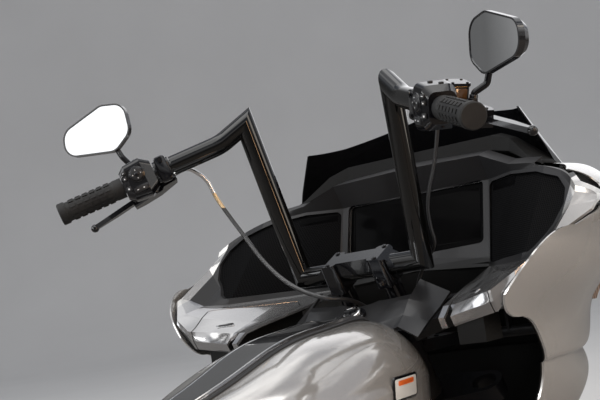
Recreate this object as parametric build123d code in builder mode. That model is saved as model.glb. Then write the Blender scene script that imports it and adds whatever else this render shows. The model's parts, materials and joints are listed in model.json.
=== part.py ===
from build123d import *
import os
from math import cos, pi, radians, sin

# Front section of a touring motorcycle: neck and backbone, frame-mounted fairing, tank,
# and the handlebar that turns in the neck. +Y is forward, +X is the rider's right.
# The origin is the middle of the backbone's rear flange. Shapes are given from the
# steering datum, a point between the bars just above the neck.
STEER_Y = 640
STEER_Z = 250

# Clearances: running fit, seat between pieces, seat on a curved wall, seam round a lid
FIT = 0.05
SEAT = 0.3
WALL_SEAT = 0.6
SEAM = 2

# Neck, stem and fork clamps, measured down the steering axis
RAKE = 26
STEM_TOP = (0, 96, -8)
STEM_R = 13
NECK_R = 34
CLAMP_DOWN = 60
CLAMP_T = 28
NECK_LEN = 146
LOWER_T = 34
FORK_X = 116
FORK_FORWARD = 30
FORK_R = 24.5
FORK_WALL = 12
NUT_R = 24
NUT_T = 10

# Backbone and flange
BACKBONE_FRONT = (150, -166)
BACKBONE_W = 64
BACKBONE_H = 90
FLANGE_W = 150
FLANGE_H = 170
FLANGE_T = 14
HOLE_X = 110
HOLE_Z = 130
HOLE_R = 6.5

# Handlebar
BAR_R = 19.05
BAR_BACK = 30
BAR_RISE = 66
BAR_HALF = 133
BAR_TOP = (165, -30, 345)
BAR_BEND = (205, -62, 312)
BEND_R = 90
BAR_OUT = 98
CONTROL_R = 12.7
GRIP_IN = (346, -191, 256)
GRIP_DIR = (0.705, -0.651, -0.279)
GRIP_LEN = 129
GRIP_R = 18.5
GRIP_END_R = 21
GRIP_CAP = 4
PAD_ROUND = 10
PAD_ALONG = 6

# Risers and top clamp
RISER_X = 52
RISER_R = 17
TOP_HALF = 84
TOP_T = 8
TOP_DEPTH = 56

# Controls: columns of HOUSING are along the bar, tall, deep and the shift to the rider
HOUSING_LEN = 62
HOUSING = ((-HOUSING_LEN, 54, 46, 0), (-44, 76, 60, 2), (-12, 70, 56, 2), (0, 50, 46, 0))
PERCH_START = 95
PERCH_LEN = 30
PERCH_R = 21
ARM_TILT = 8
ARM_LOW = -34
ARM_T = 28
ARM_PLAN = (
    (-95, 12), (-66, 12), (-63, 37), (-30, 46), (-2, 58), (-4, 84), (-24, 88), (-60, 80), (-95, 44)
)
PIVOT = (-18, 72)
PIVOT_R = 4
LEVER_T = 9
LEVER_LOW = -24.5
LEVER_FIT = 0.5
LEVER_TIP = (84, 112)
LEVER_BALL = 8
LEVER_EYE = 11
RESERVOIR = (-75, 46)
RESERVOIR_W = 40
RESERVOIR_D = 32
RESERVOIR_H = 28

# Mirrors
STALK = (-44, 64)
STALK_R = 5.5
BOSS_H = 6
MIRROR_T = 22
GLASS_T = 3
GLASS_RIM = 3
MIRROR_EDGE = ((-73, -40), (-75, 12), (14, 51), (66, 46), (74, -14), (38, -47))
MIRROR_ROUND = 29

# Fairing walls
WALL = 4
PANEL = 3.5
LINER_T = 3

# Display
DISPLAY_AT = (0, 263, 112)
DISPLAY_W = 314
DISPLAY_H = 123
DISPLAY_T = 30
DISPLAY_TILT = (0, -118, 36)

# Tank tunnel and console
TUNNEL_SIDE = 6
CONSOLE_H = 9


def at(x, y, z):
    return (x, y + STEER_Y, z + STEER_Z)


def side_face(x, points):
    """A closed face across the machine at x, from its y, z points."""
    with BuildSketch(Plane.YZ.offset(x)) as section:
        Polygon(*[(y + STEER_Y, z + STEER_Z) for y, z in points], align=None)
    return section.sketch


def panel(rows, depth, thick):
    """Sections of a folded sheet. Each row is x and its y, z points on the rider's side;
    the sheet starts `depth` behind them and is `thick` deep."""
    faces = []
    for x, *points in rows:
        near = [(y + depth, z - depth) for y, z in points]
        far = [(y + depth + thick, z - depth - thick) for y, z in reversed(points)]
        faces.append(side_face(x, [*near, *far]))
    return faces


def both_sides(rows):
    """Rows of the right side, repeated on the left."""
    return [(-row[0], *row[1:]) for row in reversed(rows) if row[0] > 0] + list(rows)


def rail(row, inset):
    """The right half of a plan section, `inset` inside the shell's outer face."""
    z, rear_x, rear_y, side_x, side_y, corner_x, corner_y, nose = row
    rear = (rear_x - inset, rear_y + STEER_Y)
    side = (side_x - inset, side_y + STEER_Y)
    corner = (corner_x - 0.8 * inset, corner_y - 0.8 * inset + STEER_Y)
    return rear, side, corner, (0, nose - inset + STEER_Y)


def flip(*points):
    return [(-x, y) for x, y in reversed(points)]


def plan(row, inset, thick):
    """A C-shaped plan section of the shell, from one rear edge round the nose to the other."""
    rear, side, corner, nose = rail(row, inset)
    rear_in, side_in, corner_in, nose_in = rail(row, inset + thick)
    with BuildSketch(Plane.XY.offset(row[0] + STEER_Z)) as section:
        with BuildLine():
            ThreePointArc(rear, side, corner)
            ThreePointArc(corner, nose, (-corner[0], corner[1]))
            ThreePointArc(*flip(rear, side, corner))
            Line((-rear[0], rear[1]), (-rear_in[0], rear_in[1]))
            ThreePointArc(*flip(corner_in, side_in, rear_in))
            ThreePointArc((-corner_in[0], corner_in[1]), nose_in, corner_in)
            ThreePointArc(corner_in, side_in, rear_in)
            Line(rear_in, rear)
        make_face()
    return section.sketch


def room(row, inset):
    """The full plan section inside the shell, run on past its rear edges."""
    rear, side, corner, nose = rail(row, inset)
    tail = 120
    with BuildSketch(Plane.XY.offset(row[0] + STEER_Z)) as section:
        with BuildLine():
            ThreePointArc(rear, side, corner)
            ThreePointArc(corner, nose, (-corner[0], corner[1]))
            ThreePointArc(*flip(rear, side, corner))
            Polyline(
                (-rear[0], rear[1]),
                (-rear[0], rear[1] - tail),
                (rear[0], rear[1] - tail),
                rear,
            )
        make_face()
    return section.sketch


STEM = Plane(
    origin=at(*STEM_TOP),
    x_dir=(1, 0, 0),
    z_dir=(0, -sin(radians(RAKE)), cos(radians(RAKE))),
)
NECK_TOP = CLAMP_DOWN + CLAMP_T + SEAT
LOWER_TOP = NECK_TOP + NECK_LEN + SEAT
SPINE = Plane(
    origin=at(0, *BACKBONE_FRONT),
    x_dir=(1, 0, 0),
    z_dir=(0, -STEER_Y - BACKBONE_FRONT[0], -STEER_Z - BACKBONE_FRONT[1]),
)
BAR_MID = STEM.from_local_coords((0, -BAR_BACK, BAR_RISE))
BAR_END = STEM.from_local_coords((BAR_HALF, -BAR_BACK, BAR_RISE))
BAR_LINE = Plane(origin=BAR_MID, x_dir=(0, 1, 0), z_dir=(1, 0, 0))
# Right grip: x up, y toward the rider, z outward along the bar
GRIP = Plane(origin=at(*GRIP_IN), x_dir=(0, 0, 1), z_dir=GRIP_DIR)
# Right lever: x outward along the bar, y forward, z up, tipped down at the lever's end
ARM = Plane(origin=GRIP.origin, x_dir=GRIP.z_dir, z_dir=GRIP.x_dir).rotated((0, ARM_TILT, 0))
DISPLAY = Plane(origin=at(*DISPLAY_AT), x_dir=(1, 0, 0), z_dir=DISPLAY_TILT)

# Frame: neck tube, boxed backbone, gusset and rear flange
with BuildPart() as frame:
    with BuildSketch(STEM.offset(-NECK_TOP)):
        Circle(NECK_R)
    extrude(amount=-NECK_LEN)
    with BuildSketch(SPINE):
        Rectangle(BACKBONE_W, BACKBONE_H)
    extrude(amount=SPINE.origin.length + BACKBONE_H)
    with BuildSketch(Plane.YZ):
        Polygon(
            (STEER_Y + 182, STEER_Z - 190),
            (STEER_Y + 160, STEER_Z - 205),
            (STEER_Y - 60, STEER_Z - 200),
            (STEER_Y + 100, STEER_Z - 160),
            align=None,
        )
    extrude(amount=BACKBONE_W / 2 - 8, both=True)
    with BuildSketch(Plane.XZ):
        RectangleRounded(FLANGE_W, FLANGE_H, 12)
        with GridLocations(HOLE_X, HOLE_Z, 2, 2):
            Circle(HOLE_R, mode=Mode.SUBTRACT)
    extrude(amount=-FLANGE_T)
    with BuildSketch(Plane.XZ):
        Rectangle(4 * FLANGE_W, 4 * FLANGE_H)
    extrude(amount=FLANGE_W, mode=Mode.SUBTRACT)
    with BuildSketch(STEM.offset(-NECK_TOP)):
        Circle(STEM_R + FIT)
    extrude(amount=-NECK_LEN, mode=Mode.SUBTRACT)
frame.part.label = "frame"

# Lower clamp, pressed on its stem
with BuildPart() as lower_clamp:
    with BuildSketch(STEM.offset(-LOWER_TOP)):
        with Locations((-FORK_X, FORK_FORWARD), (FORK_X, FORK_FORWARD)):
            Circle(FORK_R + FORK_WALL)
        Circle(NECK_R)
        make_hull()
        with Locations((-FORK_X, FORK_FORWARD), (FORK_X, FORK_FORWARD)):
            Circle(FORK_R, mode=Mode.SUBTRACT)
    extrude(amount=-LOWER_T)
    with BuildSketch(STEM.offset(-LOWER_TOP)):
        Circle(STEM_R)
    extrude(amount=LOWER_TOP - CLAMP_DOWN + NUT_T)
lower_clamp.part.label = "lower_clamp"

with BuildPart() as upper_clamp:
    with BuildSketch(STEM.offset(-CLAMP_DOWN)):
        with Locations((-FORK_X, FORK_FORWARD), (FORK_X, FORK_FORWARD)):
            Circle(FORK_R + FORK_WALL)
        with Locations((-RISER_X, -BAR_BACK), (RISER_X, -BAR_BACK)):
            Circle(RISER_R + 6)
        make_hull()
        with Locations((-FORK_X, FORK_FORWARD), (FORK_X, FORK_FORWARD)):
            Circle(FORK_R, mode=Mode.SUBTRACT)
        Circle(STEM_R + FIT, mode=Mode.SUBTRACT)
    extrude(amount=-CLAMP_T)
upper_clamp.part.label = "upper_clamp"

with BuildPart() as stem_nut:
    with BuildSketch(STEM.offset(-CLAMP_DOWN)):
        RegularPolygon(NUT_R, 6)
        Circle(STEM_R + FIT, mode=Mode.SUBTRACT)
    extrude(amount=NUT_T)
stem_nut.part.label = "stem_nut"

# Riser: post, then the block that carries the bar
SADDLE = BAR_R + 14
with BuildPart() as riser_right:
    with BuildSketch(STEM.offset(-CLAMP_DOWN)):
        with Locations((RISER_X, -BAR_BACK)):
            Circle(RISER_R)
    extrude(amount=CLAMP_DOWN + BAR_RISE - SADDLE)
    with BuildSketch(STEM.offset(BAR_RISE - SADDLE)):
        with Locations((RISER_X, -BAR_BACK)):
            RectangleRounded(2 * RISER_R, TOP_DEPTH, 8)
    extrude(amount=SADDLE)
    with BuildSketch(BAR_LINE):
        Circle(BAR_R + FIT)
    extrude(amount=TOP_HALF, mode=Mode.SUBTRACT)
riser_right.part.label = "riser_right"

with BuildPart() as riser_left:
    add(mirror(riser_right.part, about=Plane.YZ, mode=Mode.PRIVATE))
riser_left.part.label = "riser_left"

# Top clamp: one bridge over both risers, its ends sloping down to the bar
with BuildPart() as top_clamp:
    with BuildSketch(Plane(origin=BAR_MID, x_dir=(1, 0, 0), z_dir=-STEM.y_dir)):
        Polygon(
            (-TOP_HALF, SEAT),
            (-TOP_HALF, BAR_R / 2),
            (-TOP_HALF + 24, BAR_R + TOP_T),
            (TOP_HALF - 24, BAR_R + TOP_T),
            (TOP_HALF, BAR_R / 2),
            (TOP_HALF, SEAT),
            align=None,
        )
    extrude(amount=TOP_DEPTH / 2, both=True)
    with BuildSketch(STEM.offset(BAR_RISE)):
        with Locations((0, -BAR_BACK)):
            Rectangle(2 * TOP_HALF, 2 * BAR_R)
        with Locations((-RISER_X, -BAR_BACK), (RISER_X, -BAR_BACK)):
            RectangleRounded(2 * RISER_R, TOP_DEPTH, 8)
    extrude(amount=2 * BAR_R, mode=Mode.INTERSECT)
    with BuildSketch(BAR_LINE.offset(-TOP_HALF)):
        Circle(BAR_R + FIT)
    extrude(amount=2 * TOP_HALF, mode=Mode.SUBTRACT)
top_clamp.part.label = "top_clamp"

# Handlebar: straight base, leaning uprights with mitred corners, slimmer control ends
with BuildPart() as handlebar:
    with BuildLine() as half:
        Polyline(BAR_MID, BAR_END, at(*BAR_TOP))
        FilletPolyline(
            at(*BAR_TOP), at(*BAR_BEND), GRIP.from_local_coords((0, 0, -BAR_OUT)), radius=BEND_R
        )
    with BuildSketch(BAR_LINE):
        Circle(BAR_R)
    sweep(path=half.wires()[0], transition=Transition.RIGHT)
    with BuildSketch(GRIP.offset(-BAR_OUT)):
        Circle(CONTROL_R)
    extrude(amount=BAR_OUT + GRIP_LEN - GRIP_CAP - 1)
    mirror(about=Plane.YZ)
handlebar.part.label = "handlebar"

# Grip: inner collar, rows of raised pads and an end flange
with BuildPart() as grip_right:
    bore = CONTROL_R + FIT
    with BuildSketch(Plane(origin=GRIP.origin, x_dir=GRIP.z_dir, z_dir=GRIP.y_dir)):
        Polygon(
            (1, bore),
            (1, GRIP_R + 1),
            (18, GRIP_R + 1),
            (20, GRIP_R),
            (GRIP_LEN - 16, GRIP_R),
            (GRIP_LEN - 13, GRIP_END_R),
            (GRIP_LEN - 2, GRIP_END_R),
            (GRIP_LEN, GRIP_END_R - 2),
            (GRIP_LEN, 0),
            (GRIP_LEN - GRIP_CAP, 0),
            (GRIP_LEN - GRIP_CAP, bore),
            align=None,
        )
    revolve(axis=Axis(GRIP.origin, GRIP.z_dir))
    for step in range(PAD_ALONG):
        with BuildSketch(GRIP.offset(25 + step * (GRIP_LEN - 44) / PAD_ALONG)):
            with PolarLocations(GRIP_R, PAD_ROUND):
                Rectangle(3, 7)
        extrude(amount=10)
grip_right.part.label = "grip_right"

with BuildPart() as grip_left:
    add(mirror(grip_right.part, about=Plane.YZ, mode=Mode.PRIVATE))
grip_left.part.label = "grip_left"

# Switch housings
with BuildPart() as housing_right:
    for along, tall, deep, back in HOUSING:
        with BuildSketch(GRIP.offset(along)):
            with Locations((0, back)):
                RectangleRounded(tall, deep, 12)
    loft(ruled=True)
    with BuildSketch(GRIP.offset(-HOUSING_LEN)):
        Circle(CONTROL_R + FIT)
    extrude(amount=HOUSING_LEN, mode=Mode.SUBTRACT)
housing_right.part.label = "switch_housing_right"

with BuildPart() as housing_left:
    add(mirror(housing_right.part, about=Plane.YZ, mode=Mode.PRIVATE))
housing_left.part.label = "switch_housing_left"

# Perch: ring on the bar, arm past the housing, slot and pin for the lever, mirror boss
with BuildPart() as perch_right:
    with BuildSketch(GRIP.offset(-PERCH_START)):
        Circle(PERCH_R)
    extrude(amount=PERCH_LEN)
    with BuildSketch(ARM.offset(ARM_LOW)):
        Polygon(*ARM_PLAN, align=None)
    extrude(amount=ARM_T)
    with BuildSketch(ARM.offset(LEVER_LOW - LEVER_FIT)):
        with Locations(PIVOT):
            Rectangle(2 * LEVER_EYE + 4, 60)
        with Locations((PIVOT[0] + 30, PIVOT[1])):
            Rectangle(60, 60)
    extrude(amount=LEVER_T + 2 * LEVER_FIT, mode=Mode.SUBTRACT)
    with BuildSketch(ARM.offset(ARM_LOW)):
        with Locations(PIVOT):
            Circle(PIVOT_R)
    extrude(amount=ARM_T)
    with BuildSketch(ARM.offset(ARM_LOW + ARM_T)):
        with Locations(STALK):
            Circle(STALK_R + 4)
    extrude(amount=BOSS_H)
    with BuildSketch(GRIP.offset(-PERCH_START)):
        Circle(CONTROL_R + FIT)
    extrude(amount=PERCH_LEN, mode=Mode.SUBTRACT)
perch_right.part.label = "brake_perch"

with BuildPart() as perch_left:
    add(mirror(perch_right.part, about=Plane.YZ, mode=Mode.PRIVATE))
perch_left.part.label = "clutch_perch"

# Lever: eye on the pin, flat tapering blade and ball end
with BuildPart() as lever_right:
    with BuildSketch(ARM.offset(LEVER_LOW)):
        with Locations(PIVOT):
            Circle(LEVER_EYE)
        Polygon(
            (PIVOT[0] - 2, PIVOT[1] - LEVER_EYE),
            (PIVOT[0] + 34, PIVOT[1] + 3),
            (LEVER_TIP[0], LEVER_TIP[1] - 6),
            (LEVER_TIP[0], LEVER_TIP[1] + 4),
            (PIVOT[0] + 50, PIVOT[1] + 32),
            (PIVOT[0] - 4, PIVOT[1] + LEVER_EYE - 1),
            align=None,
        )
        with Locations(PIVOT):
            Circle(PIVOT_R + FIT, mode=Mode.SUBTRACT)
    extrude(amount=LEVER_T)
    with Locations(ARM.from_local_coords((*LEVER_TIP, LEVER_LOW + LEVER_T / 2))):
        Sphere(LEVER_BALL)
lever_right.part.label = "brake_lever"

with BuildPart() as lever_left:
    add(mirror(lever_right.part, about=Plane.YZ, mode=Mode.PRIVATE))
lever_left.part.label = "clutch_lever"

# Brake reservoir and its lid
with BuildPart() as reservoir:
    with BuildSketch(ARM.offset(ARM_LOW + ARM_T)):
        with Locations(RESERVOIR):
            RectangleRounded(RESERVOIR_W, RESERVOIR_D, 7)
    extrude(amount=RESERVOIR_H)
    with BuildSketch(ARM.offset(ARM_LOW + ARM_T + RESERVOIR_H)):
        with Locations(RESERVOIR):
            RectangleRounded(RESERVOIR_W + 4, RESERVOIR_D + 4, 8)
    extrude(amount=5)
reservoir.part.label = "brake_reservoir"

# Mirrors, each set by itself: hand, middle, direction of the glass, turn in its own plane,
# and where the stalk bends and ends, as inboard, up and depth from the middle
MIRRORS = {
    "right": (1, (421, -141, 348), (-0.7, -0.71, 0.05), 12, (46, -58, -10), (24, -18, -11)),
    "left": (-1, (-432, -160, 381), (0.3, -0.95, 0.05), 0, (46, -58, -10), (24, -18, -11)),
}


def mirror_outline(hand, inset):
    with BuildSketch() as outline:
        Polygon(*[(-hand * x, y) for x, y in MIRROR_EDGE][::hand], align=None)
        fillet(outline.vertices(), radius=MIRROR_ROUND)
        if inset:
            offset(amount=-inset)
    return outline.sketch


stalks = {}
shells = {}
glasses = {}
for name, (hand, middle, facing, turn, bend_at, end_at) in MIRRORS.items():
    face = Plane(origin=at(*middle), x_dir=(-facing[1], facing[0], 0), z_dir=facing)
    face = face.rotated((0, 0, turn))
    foot, above = [
        ARM.from_local_coords((*STALK, ARM_LOW + ARM_T + BOSS_H + h)) for h in (SEAT, 14)
    ]
    bend, end = [face.from_local_coords((-hand * u, v, d)) for u, v, d in (bend_at, end_at)]
    with BuildPart() as stalk:
        with BuildLine() as route:
            FilletPolyline(
                (hand * foot.X, foot.Y, foot.Z),
                (hand * above.X, above.Y, above.Z),
                bend,
                end,
                radius=10,
            )
        with BuildSketch(Plane(origin=route.line @ 0, z_dir=route.line % 0)):
            Circle(STALK_R)
        sweep(path=route.line)
    stalk.part.label = f"mirror_stalk_{name}"
    stalks[name] = stalk
    with BuildPart() as shell:
        with BuildSketch(face):
            add(mirror_outline(hand, 0))
        extrude(amount=-MIRROR_T / 2)
        with BuildSketch(face.offset(-MIRROR_T / 2)):
            add(mirror_outline(hand, 0))
        extrude(amount=-MIRROR_T / 2, taper=35)
        with BuildSketch(face):
            add(mirror_outline(hand, GLASS_RIM))
        extrude(amount=-GLASS_T, mode=Mode.SUBTRACT)
        with BuildSketch(Plane(origin=route.line @ 1, z_dir=route.line % 1)):
            Circle(STALK_R + FIT)
        extrude(amount=-80, mode=Mode.SUBTRACT)
    shell.part.label = f"mirror_shell_{name}"
    shells[name] = shell
    with BuildPart() as glass:
        with BuildSketch(face.offset(-GLASS_T + FIT)):
            add(mirror_outline(hand, GLASS_RIM + SEAT))
        extrude(amount=GLASS_T - 1)
    glass.part.label = f"mirror_glass_{name}"
    glasses[name] = glass

# Routes of the clutch cable, left, and the brake line, right, from their perches to the
# upper clamp. Both turn with the bar.
CABLE_R = 4
CABLE_FOOT = (-95 - SEAT, 30, -20)
CABLE_LEAD = (-125, 30, -20)
CABLE = (
    (-252, -62, 255),
    (-243, -53, 216),
    (-222, -43, 172),
    (-196, -39, 130),
    (-165, -40, 84),
    (-128, -39, 44),
    (-88, -36, 14),
    (-42, -20, -8),
    (-22, 23.5, -14),
)
CABLE_END = (-13, -29)
LINE_R = 3.2
LINE_FOOT = (-88, 22, ARM_LOW - SEAT)
LINE_LEAD = (-88, 22, ARM_LOW - 32)
LINE = (
    (252, -78, 184),
    (220, -50, 152),
    (194, -20, 124),
    (174, 14, 96),
    (160, 50, 60),
    (122, 76, 38),
    (88, 96, 8),
)
LINE_END = (66, 0)
CORD_DROP = 35


def arcs(points):
    """The largest arc that each corner of a route has room for."""
    radii = []
    for before, corner, after in zip(points, points[1:], points[2:]):
        run_in = corner - before
        run_out = after - corner
        half = radians(run_in.get_angle(run_out)) / 2
        radii.append(0.45 * min(run_in.length, run_out.length) * cos(half) / sin(half))
    return radii


cords = {}
for name, hand, lead, middle, end, radius in (
    ("clutch_cable", -1, (CABLE_FOOT, CABLE_LEAD), CABLE, CABLE_END, CABLE_R),
    ("brake_line", 1, (LINE_FOOT, LINE_LEAD), LINE, LINE_END, LINE_R),
):
    start = [ARM.from_local_coords(point) for point in lead]
    drop = [STEM.from_local_coords((*end, SEAT - CLAMP_DOWN + h)) for h in (CORD_DROP, 0)]
    points = [Vector(hand * point.X, point.Y, point.Z) for point in start]
    points += [Vector(*at(*point)) for point in middle] + drop
    with BuildPart() as cord:
        with BuildLine() as route:
            FilletPolyline(*points, radius=arcs(points))
        with BuildSketch(Plane(origin=route.line @ 0, z_dir=route.line % 0)):
            Circle(radius)
        sweep(path=route.line)
    cord.part.label = name
    cords[name] = cord
    tube = pi * radius**2 * sum(edge.length for edge in route.edges())
    print(name, "radii", [round(r) for r in arcs(points)], "volume", cord.part.volume, tube)

# Tank: columns are y, then x and z of the crest, shoulder, side and lower edge
TANK = (
    (48, 50, -140, 76, -150, 86, -182, 80, -232),
    (22, 48, -106, 98, -122, 120, -170, 110, -250),
    (-34, 46, -60, 116, -90, 148, -158, 140, -262),
    (-100, 50, -52, 130, -80, 168, -160, 158, -270),
    (-200, 50, -60, 138, -88, 180, -166, 165, -276),
    (-330, 46, -82, 130, -109, 178, -182, 160, -282),
    (-460, 40, -122, 108, -144, 148, -206, 135, -286),
    (-560, 30, -164, 76, -182, 104, -230, 95, -286),
    (-612, 22, -194, 48, -208, 62, -242, 56, -282),
)


def tank_form(lift):
    """The sections of the tank's outer form, raised by `lift`."""
    faces = []
    for y, cx, cz, hx, hz, sx, sz, lx, lz in TANK:
        up = STEER_Z + lift
        with BuildSketch(Plane.XZ.offset(-(y + STEER_Y))) as section:
            with BuildLine():
                Line((-cx, cz + up), (cx, cz + up))
                ThreePointArc((cx, cz + up), (hx, hz + up), (sx, sz + up))
                Polyline((sx, sz + up), (lx, lz + up), (-lx, lz + up), (-sx, sz + up))
                ThreePointArc((-sx, sz + up), (-hx, hz + up), (-cx, cz + up))
            make_face()
        faces.append(section.sketch)
    return faces


with BuildPart() as tank:
    loft(sections=tank_form(0))
    with BuildSketch(SPINE.offset(-200)):
        with Locations((0, BACKBONE_H / 2 + SEAT - BACKBONE_H)):
            Rectangle(BACKBONE_W + 2 * TUNNEL_SIDE, 2 * BACKBONE_H)
    extrude(amount=2 * STEER_Y, mode=Mode.SUBTRACT)
tank.part.label = "tank"

with BuildPart() as tank_raised:
    loft(sections=tank_form(SEAT))

# Console along the tank's crest, with a lid over the filler
CONSOLE_EDGE = ((46, -33), (50, -180), (44, -339), (36, -466), (22, -600))
LID_FRONT = -92
LID_REAR = -230
LID_HALF = 36
LID_T = 3.5
CAP_R = 24
with BuildPart() as console:
    loft(sections=tank_form(CONSOLE_H))
    with BuildSketch(Plane.XY):
        edge = [(x, y + STEER_Y) for x, y in CONSOLE_EDGE]
        Polygon(*edge, *flip(*edge), align=None)
    extrude(amount=2 * STEER_Z, mode=Mode.INTERSECT)
    add(tank_raised.part, mode=Mode.SUBTRACT)
    with BuildSketch(Plane.XY):
        with Locations((0, STEER_Y + (LID_FRONT + LID_REAR) / 2)):
            RectangleRounded(2 * LID_HALF, LID_FRONT - LID_REAR, 12)
    extrude(amount=2 * STEER_Z, mode=Mode.SUBTRACT)
console.part.label = "console"

with BuildPart() as fuel_door:
    loft(sections=tank_form(CONSOLE_H))
    with BuildSketch(Plane.XY):
        with Locations((0, STEER_Y + (LID_FRONT + LID_REAR) / 2)):
            RectangleRounded(2 * (LID_HALF - SEAM), LID_FRONT - LID_REAR - 2 * SEAM, 12 - SEAM)
    extrude(amount=2 * STEER_Z, mode=Mode.INTERSECT)
    loft(sections=tank_form(CONSOLE_H - LID_T), mode=Mode.SUBTRACT)
fuel_door.part.label = "fuel_door"

with BuildPart() as fuel_cap:
    with BuildSketch(Plane.XY):
        with Locations((0, STEER_Y + LID_FRONT - 60)):
            Circle(CAP_R)
    extrude(amount=2 * STEER_Z)
    loft(sections=tank_form(CONSOLE_H - LID_T - 1), mode=Mode.INTERSECT)
    add(tank_raised.part, mode=Mode.SUBTRACT)
fuel_cap.part.label = "fuel_cap"

# Fairing shell: columns are z, then x and y of the rear edge, side and corner, and the nose
SHELL = (
    (180, 296, 180, 306, 310, 225, 430, 500),
    (150, 374, 150, 392, 260, 290, 412, 518),
    (114, 408, 100, 428, 220, 332, 402, 540),
    (84, 400, -20, 436, 200, 345, 405, 554),
    (54, 385, -90, 436, 170, 345, 402, 562),
    (0, 352, -130, 424, 120, 328, 395, 568),
    (-50, 325, -130, 386, 110, 300, 393, 562),
    (-110, 308, -120, 344, 110, 284, 382, 548),
    (-165, 296, -100, 326, 130, 262, 362, 520),
)
CHIN = (
    (-165, 296, -100, 326, 130, 262, 362, 520),
    (-195, 290, -90, 322, 140, 266, 375, 512),
    (-280, 262, -60, 292, 140, 225, 350, 470),
)

# Everything behind the shell's rear edge, seen from the side
with BuildPart() as behind:
    with BuildSketch(Plane.YZ.offset(-STEER_Y)):
        with BuildLine(Plane(origin=(STEER_Y, STEER_Z, 0))):
            Polyline((285, 230), (285, 185), (183, 157))
            ThreePointArc((183, 157), (186, 114), (165, 92))
            Polyline((165, 92), (120, 75), (37, 54))
            ThreePointArc((37, 54), (-70, 8), (-93, -40))
            ThreePointArc((-93, -40), (-82, -60), (-34, -80))
            ThreePointArc((-34, -80), (45, -140), (45, -225))
            Polyline((45, -225), (30, -320), (-500, -320), (-500, 230), (285, 230))
        make_face()
    extrude(amount=2 * STEER_Y)

# Room inside the shell, up behind the windshield and back to the rider
with BuildPart() as core:
    loft(sections=[room(row, WALL + WALL_SEAT) for row in SHELL])
    loft(sections=[room(row, WALL + WALL_SEAT) for row in CHIN])
    add(room(SHELL[0], WALL + WALL_SEAT))
    extrude(amount=80)

# Headlamp and turn lamps
LAMP_W = 300
LAMP_H = 90
LAMP_MID = -20
LAMP_RIM = 15
LAMP_DEPTH = 80
LAMP_FRONT = Plane(origin=at(0, 600, LAMP_MID), x_dir=(1, 0, 0), z_dir=(0, -1, 0))
TURN_X = (270, 350)
TURN_Z = (-82, -32)
TURN_FRONT = 345
TURN_BULGE = 6


def lamp_room(hand, grow):
    """The block that holds a turn lamp."""
    with BuildPart() as block:
        with BuildSketch(Plane(origin=at(0, 430, 0), x_dir=(1, 0, 0), z_dir=(0, -1, 0))):
            with Locations((hand * sum(TURN_X) / 2, sum(TURN_Z) / 2)):
                RectangleRounded(
                    TURN_X[1] - TURN_X[0] + 2 * grow, TURN_Z[1] - TURN_Z[0] + 2 * grow, 12
                )
        extrude(amount=430 - TURN_FRONT + grow)
    return block.part


with BuildPart() as outer_fairing:
    loft(sections=[plan(row, 0, WALL) for row in SHELL])
    loft(sections=[plan(row, 0, WALL) for row in CHIN])
    add(behind.part, mode=Mode.SUBTRACT)
    add(lamp_room(1, SEAM), mode=Mode.SUBTRACT)
    add(lamp_room(-1, SEAM), mode=Mode.SUBTRACT)
    with BuildSketch(LAMP_FRONT):
        RectangleRounded(LAMP_W, LAMP_H, LAMP_H / 2 - 2)
    extrude(amount=200, mode=Mode.SUBTRACT)
outer_fairing.part.label = "outer_fairing"

turn_lamps = {}
for name, hand in (("right", 1), ("left", -1)):
    with BuildPart() as turn_lamp:
        loft(sections=[plan(row, -TURN_BULGE, TURN_BULGE + WALL) for row in SHELL[3:]])
        add(lamp_room(hand, 0), mode=Mode.INTERSECT)
    turn_lamp.part.label = f"turn_lamp_{name}"
    turn_lamps[name] = turn_lamp

with BuildPart() as headlamp_lens:
    loft(sections=[plan(row, 0, WALL) for row in SHELL])
    with BuildSketch(LAMP_FRONT):
        RectangleRounded(LAMP_W - 2 * SEAM, LAMP_H - 2 * SEAM, LAMP_H / 2 - 2 - SEAM)
    extrude(amount=200, mode=Mode.INTERSECT)
headlamp_lens.part.label = "headlamp_lens"

with BuildPart() as headlamp_housing:
    with BuildSketch(LAMP_FRONT):
        RectangleRounded(LAMP_W + 2 * LAMP_RIM, LAMP_H + 2 * LAMP_RIM, LAMP_H / 2)
    extrude(amount=LAMP_DEPTH + 600 - 568)
    add(core.part, mode=Mode.INTERSECT)
headlamp_housing.part.label = "headlamp_housing"

# Dark liner inside the lower shell
LINER_TOP = -88
CROSS_R = 11
CROSS_AT = (345, -125)
with BuildPart() as liner:
    loft(sections=[plan(row, WALL + WALL_SEAT, LINER_T) for row in SHELL])
    loft(sections=[plan(row, WALL + WALL_SEAT, LINER_T) for row in CHIN])
    with BuildSketch(Plane.XY.offset(STEER_Z + LINER_TOP)):
        Rectangle(2000, 4000)
    extrude(amount=400, mode=Mode.SUBTRACT)
    add(behind.part, mode=Mode.SUBTRACT)
    with BuildSketch(Plane.YZ.offset(-400)):
        with Locations((STEER_Y + CROSS_AT[0], STEER_Z + CROSS_AT[1])):
            Circle(CROSS_R + SEAT)
    extrude(amount=800, mode=Mode.SUBTRACT)
liner.part.label = "fairing_liner"

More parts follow.
